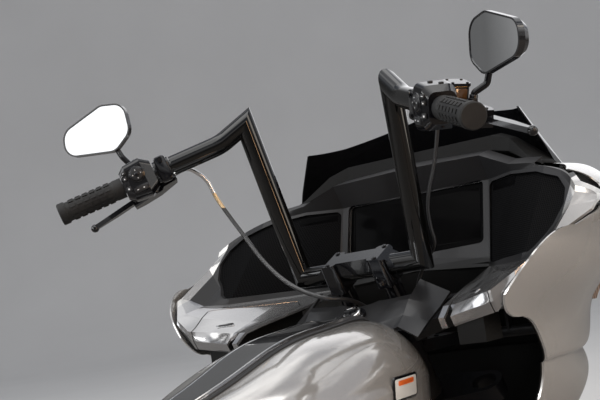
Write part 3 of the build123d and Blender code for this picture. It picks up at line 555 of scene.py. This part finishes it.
shade = Shade("clear_lens")
haze = shade.noise(25, 2)
shade.end(
    shade.skin(
        Base_Color=shade.blend(haze, (0.9, 0.92, 0.95), (0.97, 0.98, 1.0)),
        Roughness=0.02 + haze * 0.03,
        Transmission_Weight=1.0,
        IOR=1.46,
        Alpha=0.55,
    )
)

shade = Shade("amber_lens")
ribs = (shade.x * 1400).wave()
shade.end(
    shade.skin(
        Base_Color=shade.blend(ribs * 0.5 + 0.5, (0.3, 0.24, 0.2), (0.62, 0.5, 0.42)),
        Roughness=0.12 + ribs * 0.04,
        Transmission_Weight=0.3,
        Coat_Weight=1.0,
        Normal=shade.bump(ribs, 0.3, 0.0008),
    )
)

shade = Shade("lamp_chrome")
LAMP_X, LAMP_Z, LENS, BEZEL, EDGED = 0.072, 0.230, 0.03, 0.036, 0.0005
side = shade.x.size() - LAMP_X
tall = shade.z - LAMP_Z
ring = (side * side + tall * tall).power(0.5)
projector = 1 - ring.step(LENS, LENS + EDGED)
bezel = ring.step(LENS + EDGED, LENS + 2 * EDGED) * (1 - ring.step(BEZEL, BEZEL + EDGED))
tone = shade.blend(projector, (0.5, 0.5, 0.52), (0.01, 0.012, 0.02))
shade.end(
    shade.skin(
        Base_Color=shade.blend(bezel, tone, (0.9, 0.9, 0.9)),
        Metallic=1 - projector,
        Roughness=0.08 + shade.noise(60, 2) * 0.08,
        Normal=shade.bump(bezel + projector, 0.6, 0.002),
    )
)
print("finishes", len(FINISH))

# %% [markdown]
# ### Dressing the solids
# Every solid takes the finish of its material slot, except the side panels, which take the glossy
# panel grey. Sharp machined edges never come off a real machine, so most solids get a small
# rounded edge. Thin sheets stay as they are.

# %% Finishes and edges of the solids
EDGE = {
    # solid and the width of its rounded edge in millimetres
    "top_clamp": 1.6,
    "riser_right": 1.2,
    "riser_left": 1.2,
    "upper_clamp": 1.5,
    "lower_clamp": 1.5,
    "stem_nut": 1.0,
    "brake_perch": 1.4,
    "clutch_perch": 1.4,
    "switch_housing_right": 2.0,
    "switch_housing_left": 2.0,
    "brake_lever": 1.2,
    "clutch_lever": 1.2,
    "brake_reservoir": 1.0,
    "ignition_switch": 0.8,
    "frame": 2.0,
    "display": 0.8,
    "handlebar": 0.8,
}
for entry in frame["record"]["subparts"]:
    piece = NODES[entry["node"]]
    finish = "panel_grey" if entry["node"].startswith("side_panel") else entry["material_slot"]
    piece.data.materials.clear()
    piece.data.materials.append(FINISH[finish])
for name, width in EDGE.items():
    soft = NODES[name].modifiers.new("edge", "BEVEL")
    soft.width = width / 1000
    soft.segments = 2
    soft.limit_method = "ANGLE"
    soft.angle_limit = radians(34)
    soft.use_clamp_overlap = True
    soft.harden_normals = False
print("rounded edges on", len(EDGE), "solids")

# %% [markdown]
# ## Building details
# Switches, plates and strips are all stacks of rings: a closed outline repeated along a direction,
# narrower at the ends where the edge is rounded. One class collects such stacks for a body into a
# single mesh.

# %% Ring stacks
CREASE = radians(38)


def in_scene(name, data):
    """A new object that belongs to the scene."""
    obj = bpy.data.objects.new(name, data)
    bpy.context.scene.collection.objects.link(obj)
    return obj


def circle(radius, count=28):
    turn = [2 * pi * k / count for k in range(count)]
    return [(radius * cos(a), radius * sin(a)) for a in turn]


def rounded(width, height, corner, steps=5):
    """The outline of a plate with round corners."""
    points = []
    for quarter, (sx, sy) in enumerate(((1, 1), (-1, 1), (-1, -1), (1, -1))):
        for k in range(steps + 1):
            a = pi / 2 * (quarter + k / steps)
            x = sx * (width / 2 - corner) + corner * cos(a)
            y = sy * (height / 2 - corner) + corner * sin(a)
            points.append((x, y))
    return points


class Details:
    """Small pieces of one moving body, gathered in one mesh."""

    def __init__(self, name, body):
        self.name = name
        self.body = body
        self.form = bmesh.new()
        self.finishes = []

    def finish(self, name):
        if name not in self.finishes:
            self.finishes.append(name)
        return self.finishes.index(name)

    def rings(self, loops, finish):
        """Joins equal loops of points with faces, and caps both ends."""
        slot = self.finish(finish)
        made = [[self.form.verts.new(p) for p in loop] for loop in loops]
        faces = []
        for low, high in zip(made, made[1:]):
            for k in range(len(low)):
                n = (k + 1) % len(low)
                faces.append(self.form.faces.new((low[k], low[n], high[n], high[k])))
        faces.append(self.form.faces.new(made[0][::-1]))
        faces.append(self.form.faces.new(made[-1]))
        for face in faces:
            face.material_index = slot
            face.smooth = True
        bmesh.ops.recalc_face_normals(self.form, faces=faces)

    def raised(self, spot, normal, up, outline, height, finish, soft=0.6, sink=1.5):
        """A plate or button with that outline, standing on a surface."""
        z = Vector(normal).normalized()
        y = (Vector(up) - z * z.dot(up)).normalized()
        x = y.cross(z)
        reach = max(max(abs(a), abs(b)) for a, b in outline)
        inner = 1 - soft / reach
        middle = (height - soft * 0.3, (1 + inner) / 2)
        loops = [
            [spot + (x * a * scale + y * b * scale + z * level) / 1000 for a, b in outline]
            for level, scale in ((-sink, 1), (height - soft, 1), middle, (height, inner))
        ]
        self.rings(loops, finish)

    def tube(self, points, radius, finish, count=16):
        """A round tube through points, its ends square to the route."""
        loops = []
        side = UP
        for k, p in enumerate(points):
            ahead = points[min(k + 1, len(points) - 1)] - points[max(k - 1, 0)]
            ahead.normalize()
            side = (side - ahead * side.dot(ahead)).normalized()
            other = ahead.cross(side)
            loops.append([p + (side * a + other * b) / 1000 for a, b in circle(radius, count)])
        self.rings(loops, finish)

    def strip(self, rows, normals, half, height, finish):
        """A trim strip along points on a surface. Half is its width to each side."""
        low, narrow = height * 0.6, half * 0.6
        profile = ((-half, -1.2), (half, -1.2), (half, low), (narrow, height), (-narrow, height),
                   (-half, low))
        loops = []
        for k, (p, up) in enumerate(zip(rows, normals)):
            ahead = (rows[min(k + 1, len(rows) - 1)] - rows[max(k - 1, 0)]).normalized()
            side = ahead.cross(up).normalized()
            loops.append([p + (side * a + up * b) / 1000 for a, b in profile])
        self.rings(loops, finish)

    def make(self):
        """Turns what was gathered into an object that moves with its body."""
        mesh = bpy.data.meshes.new(self.name)
        self.form.to_mesh(mesh)
        self.form.free()
        for name in self.finishes:
            mesh.materials.append(FINISH[name])
        obj = in_scene(self.name, mesh)
        obj.modifiers.new("crease", "EDGE_SPLIT").split_angle = CREASE
        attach(obj, self.body)
        print(self.name, "faces", len(mesh.polygons))


print("ring stacks ready")

# %% [markdown]
# ## Switches
# Each housing carries a round thumb pad toward the rider, three small keys beside the grip, and
# a rocker in a sunk bed below. The pad has an outer ring, a dished face, four arrows and a centre
# key. Two more keys lie on top of the housing. All marks are plain dots and bars.

# %% Thumb pads, keys and rockers
KEYS = (
    # along the bar, up, width, height, mark width, mark height
    (-9, 20, 9, 7, 4, 1.2),
    (-8, 9, 8, 8, 2.4, 2.4),
    (-8, -11, 9, 9, 3, 3),
)
ARROW_OUT, MARK_OUT = 0.0078, 0.006
for side, hand in SIDES:
    kit = Details(f"switches_{side}", "steering")
    node = f"switch_housing_{side}"
    face = PANEL[hand]
    up = face.way(0, 1, 0)
    spot, normal = seat(node, face, -31, 9)
    kit.raised(spot, normal, up, circle(15.5), 2.2, "gloss_black", soft=1.2)
    kit.raised(spot, normal, up, circle(13), 3.4, "control_black", soft=1.0)
    kit.raised(spot, normal, up, circle(11.5), 4.2, "switch_rubber", soft=0.8)
    kit.raised(spot, normal, up, circle(4.2), 6.0, "gloss_black", soft=1.0)
    arrow = [(b, a) for a, b in circle(1.5, 3)][::-1]
    along = normal.cross(up).normalized()
    for turn in (0, pi / 2, pi, 3 * pi / 2):
        out = along * cos(turn) + up * sin(turn)
        kit.raised(spot + out * ARROW_OUT, normal, out, arrow, 4.7, "mark_white", soft=0.3)
    for along, high, width, height, wide, tall in KEYS:
        spot, normal = seat(node, face, along, high)
        kit.raised(spot, normal, up, rounded(width, height, 2), 2.6, "switch_rubber", soft=0.7)
        kit.raised(spot, normal, up, rounded(wide, tall, 0.5), 3.0, "mark_white", soft=0.2)
    spot, normal = seat(node, face, -28, -19)
    kit.raised(spot, normal, up, rounded(33, 15, 5), 0.8, "gloss_black", soft=0.4)
    kit.raised(spot, normal, up, rounded(26, 10, 2), 3.6, "switch_rubber", soft=1.2)
    for end, mark in ((-1, circle(1.4, 12)), (1, rounded(3.4, 1.2, 0.4))):
        point = spot + face.way(end, 0, 0) * MARK_OUT
        kit.raised(point, normal, up, mark, 4.1, "mark_white", soft=0.2)
    for shift in (-6, 6):
        spot, normal = seat(node, OVER[hand], -28 + shift * 1.4, shift)
        kit.raised(spot, normal, face.way(1, 0, 0), rounded(8, 6, 2), 2.0, "switch_rubber")
    kit.make()

# %% [markdown]
# ## Lever brackets
# A cap with two screws closes each bracket round the bar, on the rider's side. The lever turns on
# a pin with a wide head. The brake's reservoir has an amber sight window toward the rider and a
# metal rim under its lid.

# %% Bracket caps, sight window and rim
for side, hand in SIDES:
    kit = Details(f"bracket_trim_{side}", "steering")
    face = PANEL[hand]
    cap = face(-80, 0, 13), face.way(0, 0, 1), face.way(0, 1, 0)
    kit.raised(*cap, rounded(22, 50, 6), 13, "control_black", soft=2.2)
    kit.raised(*cap, rounded(27, 30, 8), 8, "control_black", soft=1.4)
    arm = ARM[hand]
    pin = arm(-18, 72, -5.6), arm.way(0, 0, 1), arm.way(1, 0, 0)
    kit.raised(*pin, circle(7), 1.8, "control_black", soft=0.5)
    kit.raised(*pin, circle(3.4, 6), 2.1, "steel", soft=0.2)
    kit.make()

kit = Details("reservoir_trim", "steering")
arm = ARM[1]
for x, y, facing, wide in ((-75, 30, (0, -1, 0), 30), (-55, 46, (1, 0, 0), 22)):
    window = arm(x, y, 9), arm.way(*facing), arm.way(0, 0, 1)
    kit.raised(*window, rounded(wide, 19, 3), 0.9, "fluid_glass", soft=0.4)
rim = arm(-75, 46, 21.2), arm.way(0, 0, 1), arm.way(0, 1, 0)
kit.raised(*rim, rounded(42.4, 34.4, 7), 0.9, "gold_trim", soft=0.1, sink=0)
kit.make()

# %% [markdown]
# ## Screws
# The same socket screw comes back all over the machine at different sizes. Its head and hexagon
# are made once by geometry nodes, put on every point of a table, turned to face out of the
# surface, and given a random turn as a hand-tightened screw has.

# %% Geometry nodes for socket screws
SCREW_SEED, HEAD_HEIGHT = 7, 0.8
SCREW_PARTS = (
    # sides, radius, what stands out of the head, finish; all for a screw with a radius of 1
    (24, 1.0, 0.0, "Head finish"),
    (24, 0.86, 0.12, "Head finish"),
    (6, 0.46, 0.16, "Socket finish"),
)


def screw_tree():
    tree = bpy.data.node_groups.new("socket_screws", "GeometryNodeTree")
    face = tree.interface
    face.new_socket("Points", in_out="INPUT", socket_type="NodeSocketGeometry")
    height = face.new_socket("Head height", in_out="INPUT", socket_type="NodeSocketFloat")
    head = face.new_socket("Head finish", in_out="INPUT", socket_type="NodeSocketMaterial")
    hole = face.new_socket("Socket finish", in_out="INPUT", socket_type="NodeSocketMaterial")
    face.new_socket("Screws", in_out="OUTPUT", socket_type="NodeSocketGeometry")

    def add(kind, settings=None, sockets=None):
        return add_node(tree, kind, settings, sockets)

    given = add("NodeGroupInput").outputs
    parts = []
    for sides, wide, out, finish in SCREW_PARTS:
        depth = add("ShaderNodeMath", {"operation": "ADD"}, {0: given["Head height"], 1: out})
        sockets = {"Vertices": sides, "Radius": wide, "Depth": depth.outputs[0]}
        form = add("GeometryNodeMeshCylinder", {}, sockets)
        sockets = {"Geometry": form.outputs[0], "Material": given[finish]}
        parts.append(add("GeometryNodeSetMaterial", {}, sockets))
    both = add("GeometryNodeJoinGeometry")
    for made in parts:
        tree.links.new(made.outputs[0], both.inputs[0])
    named = "GeometryNodeInputNamedAttribute"
    facing = add(named, {"data_type": "FLOAT_VECTOR"}, {"Name": "facing"})
    radius = add(named, {"data_type": "FLOAT"}, {"Name": "radius"})
    sockets = {"Vector": facing.outputs["Attribute"]}
    aim = add("FunctionNodeAlignRotationToVector", {"axis": "Z"}, sockets)
    # Sockets 2 and 3 are the least and the most of a random number
    sockets = {"Seed": SCREW_SEED, 2: 0.0, 3: pi}
    chance = add("FunctionNodeRandomValue", {"data_type": "FLOAT"}, sockets)
    spin = add("FunctionNodeAxisAngleToRotation", {}, {"Angle": chance.outputs[1]})
    sockets = {"Rotation": aim.outputs[0], "Rotate By": spin.outputs[0]}
    turn = add("FunctionNodeRotateRotation", {"rotation_space": "LOCAL"}, sockets)
    placed = add("GeometryNodeInstanceOnPoints", {}, {
        "Points": given["Points"],
        "Instance": both.outputs[0],
        "Rotation": turn.outputs[0],
        "Scale": radius.outputs["Attribute"],
    })
    whole = add("GeometryNodeRealizeInstances", {}, {"Geometry": placed.outputs[0]})
    add("NodeGroupOutput", {}, {"Screws": whole.outputs[0]})
    return tree, {"height": height.identifier, "head": head.identifier, "hole": hole.identifier}


SCREWS, INPUTS = screw_tree()


def screws(name, body, table):
    """One mesh of socket screws. Rows are a point, the way it faces and a radius in mm."""
    mesh = bpy.data.meshes.new(name + "_points")
    mesh.from_pydata([tuple(point) for point, _, _ in table], [], [])
    mesh.attributes.new("facing", "FLOAT_VECTOR", "POINT")
    mesh.attributes.new("radius", "FLOAT", "POINT")
    for k, (_, way, size) in enumerate(table):
        mesh.attributes["facing"].data[k].vector = Vector(way).normalized()
        mesh.attributes["radius"].data[k].value = size / 1000
    seed = in_scene(name + "_points", mesh)
    grow = seed.modifiers.new("screws", "NODES")
    grow.node_group = SCREWS
    grow[INPUTS["height"]] = HEAD_HEIGHT
    grow[INPUTS["head"]] = FINISH["gloss_black"]
    grow[INPUTS["hole"]] = FINISH["matte_black"]
    view = bpy.context.evaluated_depsgraph_get()
    made = bpy.data.meshes.new_from_object(seed.evaluated_get(view))
    bpy.data.objects.remove(seed)
    obj = in_scene(name, made)
    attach(obj, body)
    print(name, "screws", len(table), "faces", len(made.polygons))


table = []
for x in (-52, 52):
    for y in (-52.5, -7.5):
        table.append((STEM(x, y, 93.2), STEM.way(0, 0, 1), 4.6))
for side, hand in SIDES:
    for high in (-17, 17):
        table.append((PANEL[hand](-80, high, 26.6), PANEL[hand].way(0, 0, 1), 5.2))
    for along in (-52, -8):
        table.append((*seat(f"switch_housing_{side}", UNDER[hand], along, 0), 3.4))
for x, y in ((-90, 34), (-90, 58), (-60, 34), (-60, 58)):
    table.append((ARM[1](x, y, 27.2), ARM[1].way(0, 0, 1), 2.4))
screws("steering_screws", "steering", table)

# %% [markdown]
# ## Mirrors
# The solids bring the mirrors' stalks, shells and glass. What they lack is the lock nut that
# holds each stalk on its bracket, with a collar above it.

# %% Stalk nuts
for side, hand in SIDES:
    kit = Details(f"stalk_nut_{side}", "steering")
    arm = ARM[hand]
    foot = arm(-44, 64, 0.4), arm.way(0, 0, 1), arm.way(1, 0, 0)
    kit.raised(*foot, circle(8.6, 6), 5.4, "control_black", soft=0.6, sink=0.1)
    kit.raised(*foot, circle(6.9), 11, "gloss_black", soft=0.8, sink=0.1)
    kit.make()

# %% [markdown]
# ## Dash trim
# A raised frame runs round the display. Each speaker has a bare name plate at its upper inner
# corner, lying on the curved mesh. The plates are built as a grid of points that are dropped
# onto the sheet and lifted by a millimetre.

# %% Display frame and speaker plates
STEPS = 6
PLATE, PLATE_EDGE, PLATE_SUNK = 0.001, 0.00035, 0.0004
NAME_PLATE = ((184, 150), (250, 150), (252, 168), (184, 165))


def plate(kit, lower, upper, wide, slot):
    """A closed sheet between two grids of corners, both with the same number in a row."""
    deep = len(lower) // wide
    faces = []
    for j in range(deep - 1):
        for i in range(wide - 1):
            k = j * wide + i
            faces.append((upper[k], upper[k + 1], upper[k + wide + 1], upper[k + wide]))
            faces.append((lower[k], lower[k + wide], lower[k + wide + 1], lower[k + 1]))
    rim = list(range(wide))
    rim += [j * wide + wide - 1 for j in range(1, deep)]
    rim += [(deep - 1) * wide + i for i in range(wide - 2, -1, -1)]
    rim += [j * wide for j in range(deep - 2, 0, -1)]
    for k, n in zip(rim, rim[1:] + rim[:1]):
        faces.append((lower[k], lower[n], upper[n], upper[k]))
    made = [kit.form.faces.new(face) for face in faces]
    for face in made:
        face.material_index = slot
        face.smooth = True
    bmesh.ops.recalc_face_normals(kit.form, faces=made)


def drape(kit, node, corners, finish):
    """A thin plate between four corners in the front view, lying on a solid."""
    slot = kit.finish(finish)
    lower, upper = [], []
    a, b, c, d = [Vector(p) for p in corners]
    for j in range(STEPS + 1):
        for i in range(STEPS + 1):
            u, v = i / STEPS, j / STEPS
            x, z = (a * (1 - u) + b * u) * (1 - v) + (d * (1 - u) + c * u) * v
            spot, normal = hit(node, at(x, -OUTSIDE, z), AHEAD)
            thick = PLATE_EDGE if i in (0, STEPS) or j in (0, STEPS) else PLATE
            lower.append(kit.form.verts.new(spot - normal * PLATE_SUNK))
            upper.append(kit.form.verts.new(spot + normal * thick))
    plate(kit, lower, upper, STEPS + 1, slot)


kit = Details("dash_trim", "body")
DISPLAY = Place(at(0, 263, 112), (1, 0, 0), (0, -118, 36))
bead = rounded(319, 128, 10, 8)
outer = [DISPLAY(a, b, 1.2) for a, b in bead]
kit.tube(outer + outer[:2], 1.8, "control_black", 10)
glass = DISPLAY(0, 0, 0.6), DISPLAY.way(0, 0, 1), DISPLAY.way(0, 1, 0)
kit.raised(*glass, rounded(296, 106, 5), 0.7, "screen_black", soft=0.3, sink=0.2)
for side, hand in SIDES:
    corners = [(hand * x, z) for x, z in NAME_PLATE]
    drape(kit, f"speaker_grille_{side}", corners, "screen_black")
kit.make()

# %% [markdown]
# ### Apron
# Below the display a plain black sheet goes down and forward behind the shroud, so that nobody
# looks into the shell past the dash. It leans further forward as it falls and follows the bow of
# the dash, so two grids of points with a wall of two millimetres between them are enough.

# %% Apron below the dash
kit = Details("dash_apron", "body")
slot = kit.finish("matte_black")
FALL = ((231, 17), (236, 2), (249, -26), (270, -62))
HALF, BOW, COLUMNS = 172, 16, 13
near, far = [], []
for y, z in FALL:
    for k in range(COLUMNS):
        x = -HALF + 2 * HALF * k / (COLUMNS - 1)
        bow = BOW * (x / HALF) ** 2
        near.append(kit.form.verts.new(at(x, y - bow, z)))
        far.append(kit.form.verts.new(at(x, y - bow + 1.6, z - 1.2)))
plate(kit, far, near, COLUMNS, slot)
kit.make()

# %% [markdown]
# ## Doors, ignition and tank
# Both storage doors have a shallow press pad. The ignition knob is a bar across a round
# escutcheon, with a ring and a mark. Along the console runs a bright strip with a black welt
# outside it, and the tank's right side carries a bare badge.

# %% Door pads and ignition knob
for side, hand in SIDES:
    kit = Details(f"door_pad_{side}", f"door_{side}")
    spot, normal = hit(f"storage_door_{side}", at(hand * 272, -45, 100), DOWN)
    kit.raised(spot, normal, UP, rounded(34, 12, 3), 0.8, "door_black", soft=0.4)
    kit.raised(spot, normal, UP, rounded(28, 7, 2.5), 1.1, "shroud_black", soft=0.2)
    kit.make()

kit = Details("ignition_trim", "body")
SLOPE = Place(at(0, 14, -30.9), (1, 0, 0), (0, -0.581, 0.814))
knob, out, up = SLOPE(2, -27, 10.3), SLOPE.way(0, 0, 1), SLOPE.way(0, 1, 0)
kit.raised(knob, out, up, circle(17, 36), 1.2, "silver_trim", soft=0.5, sink=5)
kit.raised(knob, out, up, circle(13, 36), 3.0, "control_black", soft=0.8, sink=0.2)
kit.raised(knob, out, SLOPE.way(1, 0.3, 0), rounded(7, 25, 3), 9.0, "gloss_black", soft=1.5)
kit.raised(knob, out, SLOPE.way(1, 0.3, 0), rounded(1.4, 12, 0.5), 9.3, "mark_white", soft=0.2)
kit.make()

# %% Console strips and badge
kit = Details("tank_trim", "body")
CONSOLE_EDGE = ((43, -40), (46, -110), (47, -180), (41, -339), (33, -466), (20, -592))
PIECES = 8


def along_edge(hand, shift, node):
    """Points on a solid beside the console's edge, and how the solid faces there."""
    spots = []
    for (xa, ya), (xb, yb) in zip(CONSOLE_EDGE, CONSOLE_EDGE[1:]):
        for k in range(PIECES):
            x = xa + (xb - xa) * k / PIECES
            y = ya + (yb - ya) * k / PIECES
            spots.append(hit(node, at(hand * (x + shift), y, 60), DOWN))
    return zip(*spots)


for _, hand in SIDES:
    kit.strip(*along_edge(hand, -2.5, "console"), 2.6, 1.0, "silver_trim")
    kit.strip(*along_edge(hand, 6.5, "tank"), 5.0, 3.6, "switch_rubber")
spot, normal = hit("tank", at(300, -152, -164), Vector((-1, 0, 0)))
kit.raised(spot, normal, UP, rounded(86, 40, 6), 1.4, "gloss_black", soft=0.8)
kit.raised(spot, normal, UP, rounded(78, 32, 4), 1.9, "badge_silver", soft=0.3)
rise = (UP - normal * normal.z).normalized()
kit.raised(spot + rise * 0.009, normal, UP, rounded(56, 8, 3), 2.8, "badge_orange", soft=0.3)
kit.make()

# %% [markdown]
# ## Body screws
# Four screws hold the windshield, two hold the console and four hold the fairing's bracket. The
# holes of the rear flange stay open, because their bolts belong to the rest of the machine.

# %% Windshield, console and bracket screws
table = []
for x in (-180, -60, 60, 180):
    spot, normal = hit("windshield", at(x, 900, 200), -AHEAD)
    table.append((spot + normal * 0.0006, normal, 4.0))
for y in (-60, -560):
    spot, normal = hit("console", at(0, y, 80), DOWN)
    table.append((spot + normal * 0.0004, normal, 3.6))
for x in (-14, 14):
    for y in (205, 250):
        spot, normal = hit("fairing_bracket", at(x, y, 0), DOWN)
        table.append((spot + normal * 0.001, normal, 5.0))
screws("body_screws", "body", table)

# %% [markdown]
# ## Studio
# A pale sweep stands behind the machine and comes forward as a floor. Soft panels light it from
# above and from both sides. Glossy paint shows what stands round it, so rays that bounce off
# gloss see a sky with soft clouds above and a darker, warmer ground, while the camera sees only
# the pale sweep. Four patches of that sky stand for what the mirrors and panels reflect in the
# photograph. The rear panel fills shadows only, so gloss does not show it.

# %% Floor and sweep
# The sweep faces the camera, so both share these angles
AZIMUTH, TILT, ROLL = radians(35.9), radians(-4.8), radians(-8.55)
back = Vector((sin(AZIMUTH) * cos(TILT), -cos(AZIMUTH) * cos(TILT), sin(TILT)))
level = Vector((-sin(AZIMUTH), cos(AZIMUTH), 0))
across = Vector((cos(AZIMUTH), sin(AZIMUTH), 0))
FLOOR = LOADED[0][2] - 0.03
NEAR, DEPTH, RADIUS, HIGH, WIDE, ARC = -12.0, 9.0, 2.4, 9.0, 14.0, 12
profile = [(NEAR, FLOOR), (0.0, FLOOR), (DEPTH, FLOOR)]
for k in range(1, ARC + 1):
    a = pi / 2 * k / ARC
    profile.append((DEPTH + RADIUS * sin(a), FLOOR + RADIUS * (1 - cos(a))))
profile.append((DEPTH + RADIUS, HIGH))
form = bmesh.new()
columns = [
    [form.verts.new(level * d + across * side + Vector((0, 0, h))) for d, h in profile]
    for side in (-WIDE, WIDE)
]
for k in range(len(profile) - 1):
    quad = (columns[0][k], columns[1][k], columns[1][k + 1], columns[0][k + 1])
    form.faces.new(quad).smooth = True
mesh = bpy.data.meshes.new("studio_sweep")
form.to_mesh(mesh)
form.free()
sweep = in_scene("studio_sweep", mesh)

shade = Shade("sweep_grey")
seen = shade.node("ShaderNodeLightPath", out="Is Glossy Ray")
mottle = shade.noise(1.4, 4)
tone = shade.blend(mottle, (0.60, 0.60, 0.605), (0.66, 0.66, 0.665))
ground = shade.blend(mottle, (0.14, 0.128, 0.118), (0.26, 0.245, 0.23))
open_sky = seen * shade.z.step(0.3, 0.9)
tone = shade.blend(seen, tone, ground)
shade.end(shade.skin(Base_Color=tone, Roughness=0.9, Alpha=1 - open_sky))
sweep.data.materials.append(FINISH["sweep_grey"])
print("floor at", FLOOR)

# %% Sky that gloss sees
world = bpy.data.worlds.new("studio")
bpy.context.scene.world = world
world.use_nodes = True
sky = world.node_tree
sky.nodes.clear()


def sky_node(kind, settings=None, sockets=None, out=0):
    return add_node(sky, kind, settings, sockets).outputs[out]


GROUND, BLUE, CLOUD = (0.16, 0.148, 0.136), (0.46, 0.5, 0.58), (2.9, 2.9, 2.9)
PATCHES = (
    # direction, cosine where the patch begins and where it is full, colour
    ((-0.19, -0.947, 0.26), 0.9, 0.955, (2.2, 2.2, 2.2)),  # cloud in the left mirror
    ((-0.42, 0.847, 0.325), 0.84, 0.95, (2.0, 2.0, 2.05)),  # bright sky ahead
    ((-0.809, -0.515, 0.283), 0.91, 0.96, (0.3, 0.3, 0.31)),  # dull patch for the doors
    ((-0.88, 0.418, 0.224), 0.82, 0.92, (0.2, 0.2, 0.2)),  # dark wall on the left
)
where = sky_node("ShaderNodeTexCoord", out="Generated")
height = sky_node("ShaderNodeSeparateXYZ", {}, {0: where}, 2)
cloud = sky_node("ShaderNodeTexNoise", {}, {"Vector": where, "Scale": 2.6, "Detail": 6.0})
dome = mix(sky, ramp(sky, cloud, 0.44, 0.6), BLUE, CLOUD)
dome = mix(sky, ramp(sky, height, 0.02, 0.36), GROUND, dome)
for toward, begin, full, tone in PATCHES:
    sockets = {0: where, 1: toward}
    near = sky_node("ShaderNodeVectorMath", {"operation": "DOT_PRODUCT"}, sockets, "Value")
    dome = mix(sky, ramp(sky, near, begin, full), dome, tone)
glossy = sky_node("ShaderNodeLightPath", out="Is Glossy Ray")
pick = mix(sky, glossy, (0.72, 0.73, 0.75), dome)
light = sky_node("ShaderNodeBackground", {}, {"Color": pick, "Strength": 0.62})
add_node(sky, "ShaderNodeOutputWorld", {}, {"Surface": light})
print("world nodes", len(sky.nodes))

# %% Soft lights
LIGHTS = (
    # name, place, width, height, watts, colour
    ("top_panel", (0.2, -0.2, 3.2), 3.0, 3.0, 62, (1.0, 0.99, 0.97)),
    ("left_panel", (-3.2, -1.6, 1.6), 2.2, 2.2, 52, (0.95, 0.97, 1.0)),
    ("right_panel", (3.0, 1.4, 1.2), 1.0, 2.6, 30, (1.0, 0.9, 0.78)),
    ("rear_panel", (0.6, -4.2, 2.2), 2.4, 1.4, 36, (1.0, 1.0, 1.0)),
    ("amber_strip", (2.4, -0.6, 0.7), 0.2, 2.6, 20, (1.0, 0.6, 0.32)),
    ("edge_strip", (-1.6, -2.6, 0.9), 0.1, 2.6, 26, (1.0, 1.0, 1.0)),
)
LIT = Vector((0, 0.5, 0.3))
for name, place, wide, tall, power, colour in LIGHTS:
    lamp = bpy.data.lights.new(name, "AREA")
    lamp.shape = "RECTANGLE"
    lamp.size, lamp.size_y = wide, tall
    lamp.energy = power
    lamp.color = colour
    obj = in_scene(name, lamp)
    obj.location = place
    obj.rotation_mode = "QUATERNION"
    obj.rotation_quaternion = (LIT - Vector(place)).to_track_quat("-Z", "Y")
    obj.visible_glossy = name != "rear_panel"
print("lights", len(LIGHTS))

# %% [markdown]
# ## Camera
# The camera stands low behind the rider's right hand, looks slightly up and leans to one side, as
# the photograph was taken.

# %% Camera
look = -back
flat = look.cross(UP).normalized()
plumb = flat.cross(look)
right = flat * cos(ROLL) + plumb * sin(ROLL)
up = plumb * cos(ROLL) - flat * sin(ROLL)
turn = Matrix((right, up, back)).transposed()
eye = bpy.data.cameras.new("camera")
SENSOR, FOCAL_PIXELS, PICTURE_PIXELS = 36, 1143.1, 600
eye.sensor_width = SENSOR
eye.lens = SENSOR * FOCAL_PIXELS / PICTURE_PIXELS
camera = in_scene("camera", eye)
camera.location = (1.168, -1.091, 0.2535)
camera.rotation_mode = "QUATERNION"
camera.rotation_quaternion = turn.to_quaternion()
bpy.context.scene.camera = camera
bpy.context.scene.view_settings.view_transform = "Standard"
print("lens", round(eye.lens, 2))
